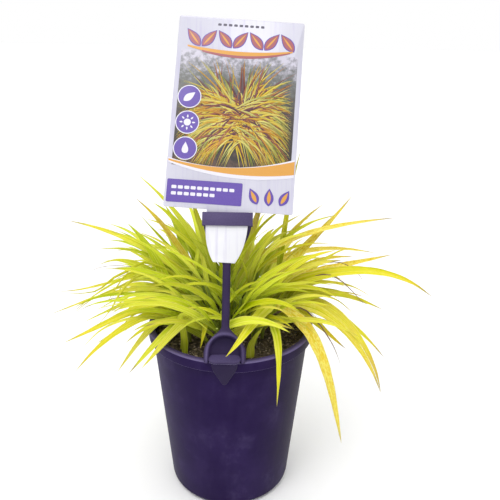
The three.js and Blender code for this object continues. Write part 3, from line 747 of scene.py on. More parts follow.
def soil_mesh(s, pot, rings=64, segments=190, gap=0.35 * MM):
    """The fill of the pot: a crumbly top, and walls and a floor just inside the pot's."""
    top = RIM_HEIGHT - s.drop
    slope = (pot.shoulder_radius - pot.base_radius) / (RIM_HEIGHT - pot.shoulder_drop - pot.corner)
    outer = pot.base_radius + slope * (top - pot.corner) - pot.wall - gap
    foot = pot.base_radius - pot.wall - gap
    vertices = []
    for k in range(rings + 1):
        for x, y in disc(0, 0, outer * k / rings, segments):
            place = Vector((x, y, 0)) / MM
            broad = noise.noise(place * 0.16) * 0.9 + noise.noise(place * 0.45 + Vector((9, 3, 1))) * 0.7
            crumbs = noise.fractal(place * 0.9, 0.7, 2.3, 3)
            edge = 1 - smoothstep(0.93, 1.0, k / rings)
            rise = s.crumb * (broad * 0.7 + crumbs * 0.6) * edge
            vertices.append((x, y, soil_height(s, x / MM, y / MM) + rise))
    walls = [
        (outer, top - 2 * MM),
        (lerp(foot, outer, 0.5), lerp(SOIL_FLOOR, top, 0.5)),
        (foot, SOIL_FLOOR + 6 * MM),
        (foot - 1.6 * MM, SOIL_FLOOR + 1.6 * MM),
        (foot - 5 * MM, SOIL_FLOOR),
    ]
    for radius, height in walls:
        vertices += [(x, y, height) for x, y in disc(0, 0, radius, segments)]
    last = (rings + len(walls)) * segments
    faces = [(a, a + segments, b + segments, b) for a, b in ring_sides(rings + len(walls), segments)]
    faces += [(last + (j + 1) % segments, last + j, len(vertices)) for j in range(segments)]
    return [*vertices, (0, 0, SOIL_FLOOR)], faces


class GRASS_OT_soil(Operator):
    """Fills the pot with potting mix and strews bark bits and fibres on it"""

    bl_idname = "forest_grass.soil"
    bl_label = "Build soil"

    def execute(self, context):
        settings = context.scene.forest_grass
        s = settings.soil
        soil = new_piece("soil_fill", *soil_mesh(s, settings.pot), material=soil_finish(s))
        with edited(soil.data) as shape:
            bmesh.ops.remove_doubles(shape, verts=shape.verts, dist=1e-7)
            bmesh.ops.recalc_face_normals(shape, faces=shape.faces)
        finish, tree = bits_finish(s), bits_tree()
        for name, density, low, high, tones, seed in (
            ("soil_bits", s.bits, (0.7, 0.5, 0.35), (2.2, 1.3, 0.8), (0.0, 0.95), s.seed),
            ("soil_clods", s.clods, (1.3, 1.1, 0.9), (3.0, 2.4, 1.8), (0.05, 0.62), s.seed + 80),
            ("soil_fibres", s.fibres, (2.0, 0.13, 0.13), (4.2, 0.22, 0.2), (0.55, 1.0), s.seed + 40),
        ):
            least, greatest = ([MM * value for value in corner] for corner in (low, high))
            strewn = grown(
                placed(name, soil.data.copy()), tree, Density=density, Seed=seed, Finish=finish,
                Darkest=tones[0], Palest=tones[1], Least_size=least, Greatest_size=greatest,
            )
            seat(strewn, "soil")
        seat(smooth(soil, 60), "soil", "soil")
        return {"FINISHED"}


# ---- Grass ----

# How ripe some of the outer leaves are: where the tip is, in millimetres with the height above
# the rim, then yellowness, blush and dryness of the tip, from 0 to 1.
RIPE_TIPS = [
    ((94, -50, -86), 1.00, 0.10, 0.3),
    ((127, -30, -49), 0.80, 0.35, 0.6),
    ((130, -20, -56), 0.74, 0.55, 0.6),
    ((133, -8, -29), 0.55, 0.30, 0.8),
    ((168, 0, 29), 0.60, 0.00, 0.7),
    ((132, 60, 42), 1.00, 0.35, 0.6),
    ((117, 80, 30), 0.80, 0.40, 0.6),
    ((139, 25, 54), 1.00, 0.25, 0.5),
    ((133, 10, 94), 0.95, 0.25, 0.9),
    ((98, 15, 108), 0.92, 0.35, 0.4),
    ((77, 32, 96), 0.80, 0.65, 0.4),
    ((67, 42, 137), 0.30, 0.80, 0.9),
    ((29, 20, 120), 0.45, 0.95, 0.3),
    ((130, 5, 11), 0.50, 0.15, 0.4),
    ((-1, -79, 11), 0.45, 0.02, 0.2),
    ((32, -74, -36), 0.42, 0.02, 0.3),
    ((-77, 5, 106), 0.80, 0.60, 0.5),
    ((-140, 25, 80), 0.42, 0.15, 0.7),
    ((-161, 45, 4), 0.45, 0.25, 0.9),
    ((-159, 10, -2), 0.42, 0.20, 0.8),
    ((-137, -25, -10), 0.52, 0.05, 0.3),
    ((-127, -40, -22), 0.55, 0.05, 0.3),
    ((-60, -64, -18), 0.50, 0.02, 0.2),
]
TIP_MATCH = 9  # how near to such a place a leaf's tip has to be, in millimetres

BLADE_DEEP, BLADE_WIDE = 1.3 * MM, 14 * MM  # a ring beyond these belongs to the culm
# A blade's tip is at least so long, at most so wide, and at most so wide for its length.
TIP_REACH, TIP_SPREAD, TIP_SLENDER = 5 * MM, 12 * MM, 0.6
CULM_CURVE = 0.03  # the length that scales a culm's cubic bend, in metres
# The sheath under a leaf's root: how sharply it starts, how far down it goes, how proud it stands.
COLLAR_EDGE, COLLAR_REACH, COLLAR_PROUD = 0.8 * MM, 9 * MM, 0.3 * MM


def neighbours_of(count, triangles):
    near = [set() for _ in range(count)]
    for a, b, c in triangles.tolist():
        near[a] |= {b, c}
        near[b] |= {a, c}
        near[c] |= {a, b}
    return near


def blade_taper(t):
    """Share of a leaf's full width: narrow at its root, widest in its first third, pointed."""
    return min(1.0, TAPER_ROOT + TAPER_OPENING * t) * (1 - t**TAPER_CURVE) ** TAPER_POINT


def follow_blade(corners, near, tip):
    """The rings of a blade from its tip down to its stem, each as left edge, right edge and keel."""
    a, b, c = near[tip]
    pairs = [(a, b, c), (a, c, b), (b, c, a)]
    ring = max(pairs, key=lambda r: np.linalg.norm(corners[r[0]] - corners[r[1]]))
    rings, before, here = [ring], {tip}, {a, b, c}
    while True:
        after = set().union(*(near[v] for v in here)) - here - before
        if len(after) != 3:
            return rings
        middle, last = corners[list(after)].mean(axis=0), corners[list(rings[-1])]
        arms = last - last.mean(axis=0)
        fits = {
            order: sum(np.dot(corners[v] - middle, arm) for v, arm in zip(order, arms))
            for order in itertools.permutations(after)
        }
        ring = max(fits, key=fits.get)
        left, right, keel = corners[list(ring)]
        deep, wide = np.linalg.norm(keel - (left + right) / 2), np.linalg.norm(left - right)
        if deep > BLADE_DEEP or wide > BLADE_WIDE:
            return rings
        rings.append(ring)
        before, here = here, after


def read_stem(node):
    """A packed stem as its foot and its leaves: stations from root to tip with their frames."""
    corners, triangles = welded(node)
    near = neighbours_of(len(corners), triangles)
    inside_pot = np.hypot(corners[:, 0], corners[:, 1]) < RIM_RADIUS - 10 * MM
    buried = inside_pot & (corners[:, 2] < RIM_HEIGHT - SOIL_DROP - 0.6 * CULM_DEPTH)
    foot, leaves = corners[buried].mean(axis=0), []
    for tip in range(len(corners)):
        if len(near[tip]) != 3:
            continue
        ring = list(near[tip])
        reach = np.linalg.norm(corners[ring] - corners[tip], axis=1).min()
        spread = max(np.linalg.norm(corners[a] - corners[b]) for a, b in itertools.combinations(ring, 2))
        linked = all(b in near[a] for a, b in itertools.combinations(ring, 2))
        if not linked or reach < TIP_REACH or spread > min(TIP_SPREAD, TIP_SLENDER * reach):
            continue
        rings = [corners[list(r)] for r in reversed(follow_blade(corners, near, tip))]
        leaves.append(measured_leaf(rings, corners[tip]))
    return foot, leaves


def measured_leaf(rings, tip):
    """Middles, facing and full width of a blade from its rings; the hidden root is carried on."""
    middles = [(left + right) / 2 for left, right, _ in rings]
    halves = [np.linalg.norm(left - right) / 2 for left, right, _ in rings]
    rights = [(right - left) / (2 * half) for (left, right, _), half in zip(rings, halves)]
    faces = [(middle - keel) / np.linalg.norm(middle - keel) for middle, (_, _, keel) in zip(middles, rings)]
    if np.dot(np.cross(rights[-1], tip - middles[-1]), faces[-1]) < 0:
        rights = [-right for right in rights]
    missing = 1 if len(halves) > 1 and halves[0] > 1.02 * halves[1] else 0
    total = len(rings) + 1 + missing
    at = [(k + 1 + missing) / total for k in range(len(rings))]
    width = 2 * float(np.median([half / blade_taper(t) for half, t in zip(halves, at)]))
    for _ in range(missing + 1):
        a, b, c = (middles + [tip])[:3]
        middles.insert(0, 3 * a - 3 * b + c)
    rights = rights[:1] * (missing + 1) + rights + rights[-1:]
    faces = faces[:1] * (missing + 1) + faces + faces[-1:]
    return {
        "at": [k / total for k in range(total + 1)],
        "middles": middles + [tip],
        "rights": rights,
        "faces": faces,
        "width": width,
        "tip": tip,
    }


def culm_path(foot, leaves):
    """The culm's middle line: upright out of the soil, then leaning through its leaves' roots."""
    ground = foot + np.array([0, 0, CULM_DEPTH])
    roots = np.array([leaf["middles"][0] for leaf in leaves])
    rises = np.clip(roots[:, 2] - ground[2], 2 * MM, None)
    powers = np.stack([rises**2, rises**3 / CULM_CURVE], axis=1) if len(roots) > 3 else rises[:, None] ** 2
    bend, *_ = np.linalg.lstsq(powers, roots[:, :2] - ground[:2], rcond=None)
    top = rises.max() + 1.5 * MM

    def point(rise):
        terms = np.array([rise**2, rise**3 / CULM_CURVE][: len(bend)])
        return np.append(ground[:2] + terms @ bend, ground[2] + rise)

    return point, top


def leaf_looks(leaf, random):
    """Ripeness, blush, dryness and shade of a leaf, from where it hangs and its luck."""
    tip = leaf["tip"] / MM - np.array([0, 0, RIM_HEIGHT / MM])
    for place, ripe, blush, dry in RIPE_TIPS:
        if np.linalg.norm(tip - np.array(place)) < TIP_MATCH:
            return ripe, blush, dry, random.uniform(0.35, 0.75)
    right_side = smoothstep(10, 120, tip[0])
    low = smoothstep(60, -20, tip[2])
    ripe = 0.08 + 0.30 * right_side + 0.16 * low + random.uniform(-0.1, 0.26)
    blush = max(0.0, random.uniform(-0.5, 0.42) + 0.2 * right_side)
    dry = max(0.0, random.uniform(-0.6, 0.9))
    return ripe, blush, dry, random.uniform(0.0, 1.0)


def leaf_finish(s):
    """Satin blades: pale veins along a lime face, ripening to gold and orange from margin and tip."""
    t = Surface("grass blade")
    along, across, under = t.attribute("along"), t.attribute("across"), t.attribute("under")
    ripe, blush, dry, tone = (t.attribute(name) for name in ("ripe", "blush", "dry", "tone"))
    lengthwise = t.combine(across * 4.5 + tone * 37.0, along * 2.2, tone * 19.0)
    streaks = t.noise(1.0, 4.0, 0.6, at=lengthwise)
    patches = t.noise(46.0, 3.0)
    mottle = t.noise(420.0, 3.0, 0.6)
    veins = 0.5 + 0.5 * (across * 13.0 + tone * 9.0).sine()
    margin = across.size().step(0.78, 0.97)
    midrib = 1 - across.size().step(0.03, 0.12)
    green = t.mix(along.step(0.02, 0.38) * (0.4 + 0.6 * tone), s.base, s.lime)
    ripening = ripe * 1.45 + (along - 0.55) * 0.7 + (streaks - 0.5) * 1.0 + (patches - 0.5) * 0.8
    ripening = (ripening - 0.25).clamped()
    golden = t.mix(ripening, green, s.gold)
    orange = (ripening * 1.5 - 1.12 + (mottle - 0.5) * 0.7 + margin * 0.2).clamped() * ripe
    golden = t.mix(orange, golden, s.orange)
    tinge = (blush * ((patches - 0.42) * 2.6 + (streaks - 0.5) * 2.0 + along * 0.3)).clamped()
    tinged = t.mix(tinge * 0.8, golden, s.blush)
    network = t.noise(1.0, 2.0, at=t.combine(across * 1.9 + tone * 11.0, along * 19.0, mottle * 1.2))
    crackle = (1 - (network - 0.5).size() * 13.0).clamped() * ripe.step(0.7, 0.95)
    pale = veins * 0.24 + margin * 0.5 + midrib * 0.3 + (streaks - 0.48) * 1.8
    pale = (pale + (mottle - 0.45) * 0.9 * ripe + (tone - 0.55) * 0.5 + crackle).clamped()
    veined = t.mix(pale * 0.72, tinged, s.bright)
    scorch = across.size().step(0.86, 0.97) * ((patches + mottle - 1.05) * 5.0).clamped()
    dried = t.mix(along.step(0.84, 0.98) * dry, veined, s.dry)
    dried = t.mix(scorch * (0.35 + 0.5 * blush), dried, ink(118, 84, 40))
    backed = t.mix(under * 0.22, dried, ink(176, 190, 30))
    furrows = (0.46 - streaks).clamped() * 1.5
    shade = (furrows + (0.5 - tone).clamped() * 0.35 + (0.14 - along).clamped() * 2.2).clamped()
    shaded = t.mix(shade, backed, ink(128, 148, 2))
    ribs = veins * 0.6 + streaks + midrib * 0.8
    return t.finish(
        Base_Color=shaded,
        Roughness=0.4 + 0.16 * streaks + 0.12 * dry * along,
        Normal=t.bump(ribs + mottle * 0.3, 0.18 * MM, 0.6),
        Specular_IOR_Level=0.2,
        Subsurface_Weight=0.07,
        Subsurface_Scale=0.0012,
        Subsurface_Radius=(1.0, 1.0, 0.35),
    )


def culm_finish():
    """Slender culms wrapped in pale sheaths, browned at the foot."""
    t = Surface("culm and sheath")
    along, tone = t.attribute("along"), t.attribute("tone")
    fibres = t.noise(900.0, 3.0, at=t.place((1, 1, 0.12)))
    green = t.mix((tone * 0.6 + fibres * 0.5).clamped(), ink(96, 112, 30), ink(168, 184, 70))
    footed = t.mix(1 - along.step(0.0, 0.3), green, ink(132, 112, 84))
    return t.finish(Base_Color=footed, Roughness=0.45 + 0.2 * fibres, Normal=t.bump(fibres, 0.2 * MM, 0.5))


def blade_tree():
    """Geometry nodes that turn a path with its frames into a thin, folded, waving blade."""
    t = Shape("Folded blades")
    paths = t.input("Paths", "Geometry")
    stations, sides = t.input("Stations", "Int", 24), t.input("Sides", "Int", 12)
    thickness, fold = t.input("Thickness", "Float", 0.0003), t.input("Fold", "Float", 0.2)
    wave, wave_length = t.input("Wave", "Float", 0.0), t.input("Wave length", "Float", 0.02)
    finish = t.input("Finish", "Material")
    curve = t.node("MeshToCurve", Mesh=paths)
    curve = t.node("CurveSplineType", {"spline_type": "CATMULL_ROM"}, Curve=curve)
    curve = t.node("ResampleCurve", {"mode": "COUNT"}, Curve=curve, Count=stations)
    position = t.node("InputPosition")
    curve = t.store(curve, "axis", position, "FLOAT_VECTOR")
    loop = t.node("CurvePrimitiveCircle", {"mode": "RADIUS"}, Resolution=sides, Radius=1.0)
    loop = t.store(loop, "loop", position, "FLOAT_VECTOR")
    blade = t.node("CurveToMesh", Curve=curve, Profile_Curve=loop, Fill_Caps=True)
    along, phase, reach, width = (t.attribute(name) for name in ("along", "phase", "reach", "width"))
    vectors = ("axis", "loop", "right", "face")
    axis, around, right, face = (t.attribute(name, "FLOAT_VECTOR") for name in vectors)
    across, above = t.axis(around, "X"), t.axis(around, "Y")
    opened = (TAPER_ROOT + TAPER_OPENING * along).at_most(1.0)
    taper = opened * (1 - along**TAPER_CURVE).at_least(0.0) ** TAPER_POINT
    half = (width * 0.5 * taper).at_least(LEAST_HALF)
    bend = across.size() ** 1.5 * half * fold
    ripple = (along * reach / wave_length * TURN + phase).sine() * wave * across * (0.3 + 0.7 * across.size())
    lift = above * thickness * (0.35 + 0.65 * taper) * 0.5 + bend + ripple * taper - half * fold * 0.3
    sideways = t.scaled(t.vector("NORMALIZE", right), across * half)
    place = t.total(axis, sideways, t.scaled(t.vector("NORMALIZE", face), lift))
    blade = t.node("SetPosition", Geometry=blade, Position=place)
    blade = t.store(blade, "across", across)
    blade = t.store(blade, "under", (0.0 - above).step(0.05, 0.4))
    for name in (*vectors, "phase", "reach", "width"):
        blade = t.node("RemoveAttribute", Geometry=blade, Name=name)
    return t.finish(blade, finish)


def tube_tree():
    """Geometry nodes that turn a path with radii into a round tube."""
    t = Shape("Round culms")
    paths = t.input("Paths", "Geometry")
    sides = t.input("Sides", "Int", 8)
    finish = t.input("Finish", "Material")
    curve = t.node("MeshToCurve", Mesh=paths)
    loop = t.node("CurvePrimitiveCircle", {"mode": "RADIUS"}, Resolution=sides, Radius=1.0)
    thick = t.attribute("thick")
    tube = t.node("CurveToMesh", Curve=curve, Profile_Curve=loop, Scale=thick, Fill_Caps=True)
    tube = t.node("RemoveAttribute", Geometry=tube, Name="thick")
    return t.finish(tube, finish)


class Paths:
    """Polylines with values at their points, for the geometry nodes to follow."""

    def __init__(self):
        self.points, self.edges, self.values = [], [], {}

    def add(self, points, **values):
        """One polyline. A value is one number for all its points, or a list with one for each."""
        start = len(self.points)
        self.points += [tuple(p) for p in points]
        self.edges += [(start + k, start + k + 1) for k in range(len(points) - 1)]
        for name, value in values.items():
            several = value if isinstance(value, (list, np.ndarray)) else [value] * len(points)
            self.values.setdefault(name, []).extend(several)

    def piece(self, name):
        made = new_piece(name, self.points, edges=self.edges)
        for key, values in self.values.items():
            set_attribute(made.data, key, values)
        return made


def blade_values(leaf, looks, random):
    """What a blade's path carries for blade_tree and leaf_finish."""
    run = np.diff(np.array(leaf["middles"]), axis=0)
    return {
        "along": leaf["at"],
        "right": leaf["rights"],
        "face": leaf["faces"],
        "width": leaf["width"],
        "reach": float(np.linalg.norm(run, axis=1).sum()),
        "phase": random.uniform(0, TURN),
        **dict(zip(("ripe", "blush", "dry", "tone"), looks)),
    }


CLUMP_MIDDLE, HEART_RADIUS = (-3, 7), 15  # in millimetres
# The sides round the clump's heart: up to which turn from +X each one goes, in degrees.
SIDES = ((35, "right"), (90, "back_right"), (145, "back_left"), (235, "left"), (305, "front"))


def side_of(foot):
    """The part of the clump that a stem belongs to."""
    x, y = (foot[k] / MM - CLUMP_MIDDLE[k] for k in (0, 1))
    if math.hypot(x, y) < HEART_RADIUS:
        return "heart"
    turn = math.degrees(math.atan2(y, x)) % 360
    return next((side for end, side in SIDES if turn < end), "right")


def add_culm(paths, s, foot, point, top, leaves, tone):
    """A culm whose sheaths end in a small collar under each leaf."""
    collars = sorted(leaf["middles"][0][2] - foot[2] - CULM_DEPTH for leaf in leaves)
    edges = (collar + side * COLLAR_EDGE for collar in collars for side in (-1, 1))
    rises = sorted({0.0, top, *(top * k / 10 for k in range(11)), *edges})
    rises = [rise for rise in rises if 0 <= rise <= top]
    radii = []
    for rise in rises:
        below = any(0 <= collar - rise < COLLAR_REACH for collar in collars)
        radii.append(lerp(s.culm_foot, s.culm_top, rise / top) + (COLLAR_PROUD if below else 0.0))
    points = [foot, *(point(rise) for rise in rises)]
    along = [0.0, *(0.15 + 0.85 * rise / top for rise in rises)]
    paths.add(points, thick=[s.culm_foot * 0.8, *radii], along=along, tone=tone)


class GRASS_OT_leaves(Operator):
    """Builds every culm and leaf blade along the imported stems"""

    bl_idname = "forest_grass.leaves"
    bl_label = "Build grass"

    def execute(self, context):
        s = context.scene.forest_grass.grass
        random = np.random.default_rng(s.seed)
        blades, culms, members = {}, {}, {}
        for node in STEMS:
            foot, leaves = read_stem(node)
            if not leaves:
                raise RuntimeError(f"{node} has no leaf that can be read")
            side = side_of(foot)
            members.setdefault(side, []).append(node)
            point, top = culm_path(foot, leaves)
            tone = random.uniform(0, 1)
            add_culm(culms.setdefault(side, Paths()), s, foot, point, top, leaves, tone)
            for leaf in leaves:
                rise = min(max(leaf["middles"][0][2] - foot[2] - CULM_DEPTH, 0), top - 1 * MM)
                leaf["middles"][0] = point(rise)
                values = blade_values(leaf, leaf_looks(leaf, random), random)
                blades.setdefault(side, Paths()).add(leaf["middles"], **values)
        finish, culm_material = leaf_finish(s), culm_finish()
        folded, round_culms = blade_tree(), tube_tree()
        for side, nodes in members.items():
            piece = grown(
                blades[side].piece(f"leaves_{side}"), folded, Stations=s.stations, Thickness=s.thickness,
                Fold=s.fold, Wave=s.wave, Wave_length=s.wave_length, Finish=finish,
            )
            seat(piece, "leaf", *nodes)
            seat(grown(culms[side].piece(f"culms_{side}"), round_culms, Finish=culm_material), "leaf")
        return {"FINISHED"}


# Thin dried blades, and young shoots and strands: a width, then points in millimetres with the
# height above the rim.
WISPS = [
    (2.3, (30, 4, -14), (33, 5, 6), (48, 5, 28), (74, 0, 44), (88, -4, 43), (97, -5, 36), (105, -5, 28),
     (114, -5, 17)),
    (1.8, (36, 16, -14), (40, 18, 14), (60, 17, 40), (88, 10, 52), (104, 2, 47), (113, -5, 36)),
    (2.4, (26, -8, -14), (30, -10, 8), (56, -18, 22), (70, -24, 14), (79, -28, 3), (86, -28, -9),
     (92, -28, -24)),
    (1.5, (-22, 6, -14), (-28, 8, 12), (-66, 14, 38), (-108, 22, 40), (-134, 26, 28)),
    (1.5, (-20, 0, -14), (-30, 2, 8), (-76, 6, 20), (-120, 12, 8), (-144, 18, -8)),
    (1.7, (36, 6, -10.6), (45, -2, -10.2), (52, -9, -10.2), (59, -16, -10.6)),
]
STRAND_WIDTH = 4.5  # narrower shoots are ripe strands
SHOOTS = [
    (5.0, (-39, -28, -24), (-38, -29, -4), (-36, -30, 5), (-35, -30, 12)),
    (7.0, (-36, -36, -24), (-36, -37, -5), (-36, -38, 3), (-37, -40, 15), (-38, -42, 24), (-35, -43, 27),
     (-28, -46, 25), (-20, -50, 21), (-15, -53, 18)),
    (4.8, (6, -27, -24), (5, -28, -1), (5, -29, 8), (4, -30, 16), (3, -31, 24)),
    (5.2, (7, -27, -24), (8, -28, -3), (9, -29, 7), (7, -31, 17), (4, -32, 25)),
    (5.2, (6, -28, -24), (8, -30, 0), (14, -32, 12), (19, -34, 22), (26, -36, 31)),
    (8.0, (16, -39, -24), (17, -40, -8), (18, -40, 0), (22, -41, 9), (27, -42, 17)),
    (4.0, (-24, 4, 6), (-48, 2, 40), (-66, -1, 52), (-75, -4, 53), (-85, -6, 47), (-96, -8, 42),
     (-110, -10, 31), (-124, -12, 29), (-140, -14, 29)),
    (3.2, (-26, 2, 6), (-50, -2, 34), (-70, -3, 45), (-84, -8, 46), (-88, -10, 43), (-95, -14, 33),
     (-101, -18, 23)),
    (3.6, (-26, 0, 4), (-45, 0, 32), (-59, -1, 44), (-74, -10, 45), (-84, -14, 39), (-93, -18, 27),
     (-98, -20, 18), (-111, -26, 3)),
    (3.0, (-24, -6, 2), (-44, -8, 20), (-60, -10, 27), (-69, -14, 28), (-89, -20, 22), (-99, -24, 17)),
    (3.4, (-30, -2, 6), (-56, -4, 34), (-78, -8, 40), (-93, -10, 34), (-113, -16, 26), (-129, -20, 14)),
]


def sprig(places, width):
    """A blade's values along points on a given path."""
    points = np.array([(x, y, z + RIM_HEIGHT / MM) for x, y, z in places]) * MM
    forward = np.gradient(points, axis=0)
    rights = np.cross(forward, (0.15, 1, 0.35))
    faces = np.cross(rights, forward)
    return {
        "middles": list(points),
        "rights": list(rights / np.linalg.norm(rights, axis=1, keepdims=True)),
        "faces": list(faces / np.linalg.norm(faces, axis=1, keepdims=True)),
        "at": list(np.linspace(0.1, 1.0, len(points))),
        "width": width * MM,
    }


class GRASS_OT_wisps(Operator):
    """Adds the young shoots, and the thin dried blades that hang in the clump or lie on the soil"""

    bl_idname = "forest_grass.wisps"
    bl_label = "Build wisps"

    def execute(self, context):
        s = context.scene.forest_grass.grass
        random = np.random.default_rng(s.seed + 1)
        t = Surface("dried wisp")
        grain = t.noise(500.0, 3.0)
        tint = t.mix(grain, ink(96, 74, 52), ink(164, 136, 112))
        dried = t.finish(Base_Color=tint, Roughness=0.6 + 0.2 * grain)
        for name, rows, finish in (("dry_wisps", WISPS, dried), ("young_shoots", SHOOTS, leaf_finish(s))):
            paths = Paths()
            for width, *places in rows:
                leaf = sprig(places, width)
                looks = (0.5 if width < STRAND_WIDTH else 0.12, 0.1, 0.3, random.uniform(0.4, 0.95))
                paths.add(leaf["middles"], **blade_values(leaf, looks, random))
            settings = {"Stations": 22, "Thickness": 0.25 * MM, "Fold": 0.3}
            seat(grown(paths.piece(name), blade_tree(), **settings, Finish=finish), "leaf")
        return {"FINISHED"}


# ---- Label ----


def holder_finish(s):
    """Moulded holder plastic, finer than the pot's. It is paler on the grip with dust and a painted
    highlight, has painted highlights on its bead and ledge, and has painted shade in its hollow and on the
    nose.
    """
    t = Surface("moulded holder plastic")
    grain = t.noise(1500.0, 2.0)
    clouds = t.noise(70.0, 3.0)
    height = t.axis(t.place(), "Z")
    # The grip is paler with dust and a painted highlight.
    pale_dust_and_highlight = height.step(s.grip_height - 4 * MM, s.grip_height + 3 * MM) * (0.62 + 0.5 * (grain - 0.5))
    specks = (grain * 1.6 - 0.9).clamped() * 0.5
    # Painted highlights on the spade's bead and the ledge's lower edge, and dust with a painted highlight on
    # the ledge's top.
    worn = t.attribute("worn") * (0.55 + 0.9 * grain)
    tint = t.mix((pale_dust_and_highlight + specks + worn + (clouds - 0.45) * 0.25).clamped(), s.plastic, s.pale_dust_and_highlight)
    # Painted highlight: where that mix is strongest, the colour turns near white.
    tint = t.mix(t.attribute("worn").step(0.7, 1.2) * 0.9, tint, ink(190, 184, 220))
    # Painted shade: darker in the spade's hollow and on the nose.
    tint = t.mix(t.attribute("hollow"), tint, ink(19, 9, 42))
    return t.finish(
        Base_Color=tint,
        Roughness=0.36 + 0.16 * grain + 0.1 * clouds,
        Normal=t.bump(grain * 0.6 + clouds, 0.2 * MM, 0.5),
        Specular_IOR_Level=0.13,
    )


def holder_place(s):
    """The holder's own axes: x across, y up its shaft from the rim, z out of its front."""
    stand = Matrix.Translation((s.place_x, -RIM_RADIUS + 1 * MM, RIM_HEIGHT))
    return stand @ Matrix.Rotation(math.pi / 2 - s.lean, 4, "X")


# In millimetres on the holder: half the shaft's width, and the bar of the grip.
SHAFT_HALF, GRIP_LOW, GRIP_HIGH, GRIP_HALF = 3.1, 104.0, 114.4, 19.5


def spade_edge(half, bottom, top):
    """The spade's right edge from the shaft to its foot, as points (x, y)."""
    corner_in = 0.84 * half  # where the rounded corner meets the foot
    widest = lerp(bottom, top, 0.2)
    neck = [(SHAFT_HALF, top), (SHAFT_HALF, lerp(top, widest, 0.22))]
    shoulder = [*neck, (half, lerp(top, widest, 0.5)), (half, widest)]
    corner = [(half, widest), (half, lerp(widest, bottom, 0.6)), (half, bottom), (corner_in, bottom)]
    return [*bezier(*shoulder, 24), *bezier(*corner, 10), (corner_in, bottom)]


def hollow_edge(half, bottom, top, steps=60):
    """The hollow's right edge, a drop that is widest at its foot, as points (x, y)."""
    shares = [1 - (1 - k / steps) ** 2 for k in range(steps + 1)]
    return [(half * math.sqrt(1 - u**3.4), lerp(bottom, top, u)) for u in shares]


def inside(x, y, edge):
    """How far a point lies inside a mirrored edge; below zero outside it."""
    near = min(math.hypot(abs(x) - a, y - b) for a, b in edge)
    return near if abs(x) < np.interp(y, [b for _, b in edge], [a for a, _ in edge], right=0.0) else -near


def spade_and_shaft(material):
    """The spade with its beaded rim and drop-shaped hollow, which narrows into the rounded shaft."""
    half, top, bottom, shaft_top = 16.1, 27.2, 2.0, 82.0
    hollow_half, hollow_foot, hollow_top, depth = 12.6, 1.0, 20.4, 2.9
    bead, bead_out, bead_width = 0.8, 1.2, 1.3  # the rim round the hollow: height, place and width
    lobe, lobe_forward, lobe_back = 2.7, 1.6, 0.35  # how far the foot's corners hang and reach out
    round_over, set_in = 2.2, 0.25  # the front's rounded border, and the back's smaller width
    edge = spade_edge(half, bottom, top)[::-1]
    hollow = hollow_edge(hollow_half, hollow_foot, hollow_top)
    heights = [*np.linspace(bottom, top + 8, 96), *np.linspace(top + 10, shaft_top, 16)]
    turns = np.linspace(-1, 1, 57)
    # The painted shade and the painted highlight for each corner.
    vertices, painted_shades, crest_highlights = [], [], []

    def add(x, y, z, sunk=0.0, crest=0.0):
        vertices.append((x * MM, y * MM, z * MM))
        painted_shades.append(sunk)
        crest_highlights.append(crest)

    def hanging(x, y):
        """How much of the foot's lobes a point takes, from 0 to 1."""
        return smoothstep(9.5, 13, abs(x)) * smoothstep(6, bottom, y)

    for y in heights:
        width = float(np.interp(y, [p[1] for p in edge], [p[0] for p in edge]))
        rise = smoothstep(top - 7, top + 4, y)  # from the spade to the shaft
        front, back = lerp(0.5, -0.35, rise), lerp(-3.2, -3.9, rise)
        for turn in turns:
            x = width * math.sin(turn * math.pi / 2)
            shoulder = max(0.0, (abs(x) - width + round_over) / round_over)
            z = front - round_over * (1 - math.sqrt(max(0.0, 1 - shoulder**2)))
            hang, arch = hanging(x, y), inside(x, y, hollow)
            crest = math.exp(-(((arch + bead_out) / bead_width) ** 2)) * (1 - rise) * smoothstep(-1, 6, y)
            sunk = smoothstep(-0.5, 2.4, arch) * (1 - rise)
            z += bead * crest + lobe_forward * hang - depth * sunk
            # Painted shade in the hollow, deepest under its top, and a painted highlight on the bead that is
            # brighter on the left.
            shade, painted_highlight = 0.72 - 0.45 * smoothstep(18, 8, y), 0.62 - 0.012 * x
            add(x, y - lobe * hang, z, sunk * shade, crest * painted_highlight)
        for turn in turns[::-1]:
            x = (width - set_in) * math.sin(turn * math.pi / 2)
            hang = hanging(x, y)
            add(x, y - lobe * hang, lerp(back, lobe_back, hang))
    faces = tube_faces(len(heights), 2 * len(turns))
    spade = new_piece("holder_spade", vertices, faces, material=material)
    # The painted shade and the bead's painted highlight, as attributes.
    set_attribute(spade.data, "hollow", painted_shades)
    set_attribute(spade.data, "worn", crest_highlights)
    return smooth(spade, 50)


def scaled(points):
    """Millimetres to metres."""
    return [(x * MM, y * MM) for x, y in points]


def slab(name, outline, low, high, material=None):
    """A piece with an outline, from low to high; all in millimetres."""
    return new_piece(name, *plate(scaled(outline), low * MM, high * MM), material=material)


def grip_frame(material):
    """The D of the handle: two limbs that spread from the shaft up to the grip."""
    neck, foot, limb = SHAFT_HALF, 74.0, 3.2
    outer = GRIP_HALF - 0.5
    right = bezier((neck, foot), (neck + 2, foot + 8), (GRIP_HALF - 3, foot + 14), (outer, GRIP_LOW + 3))
    outline = [*right, (outer, GRIP_LOW + 3)]
    outline += mirrored(outline)
    arch, corner = (0, foot + 2 * limb), (outer - limb, GRIP_LOW)
    opening = [*bezier(arch, (neck, foot + 9), (GRIP_HALF - 3 - limb, foot + 15), corner)[1:], corner]
    opening = [arch, *opening, *mirrored(opening)]
    limbs = slab("holder_frame", outline, -3.8, -1.0, material)
    return smooth(eased(cut_away(limbs, slab("frame_opening", opening, -9, 9)), 0.6 * MM), 40)


def grip_bar(material):
    """The grip, with the slot that the card is pushed through."""
    grip = slab("holder_grip", bar(-GRIP_HALF, GRIP_LOW, GRIP_HALF, GRIP_HIGH), -3.8, 3.4, material)
    slot = slab("grip_slot", bar(-17.7, 90, 17.7, 130), -0.25, 1.25)
    return smooth(eased(cut_away(grip, slot), 0.55 * MM), 40)


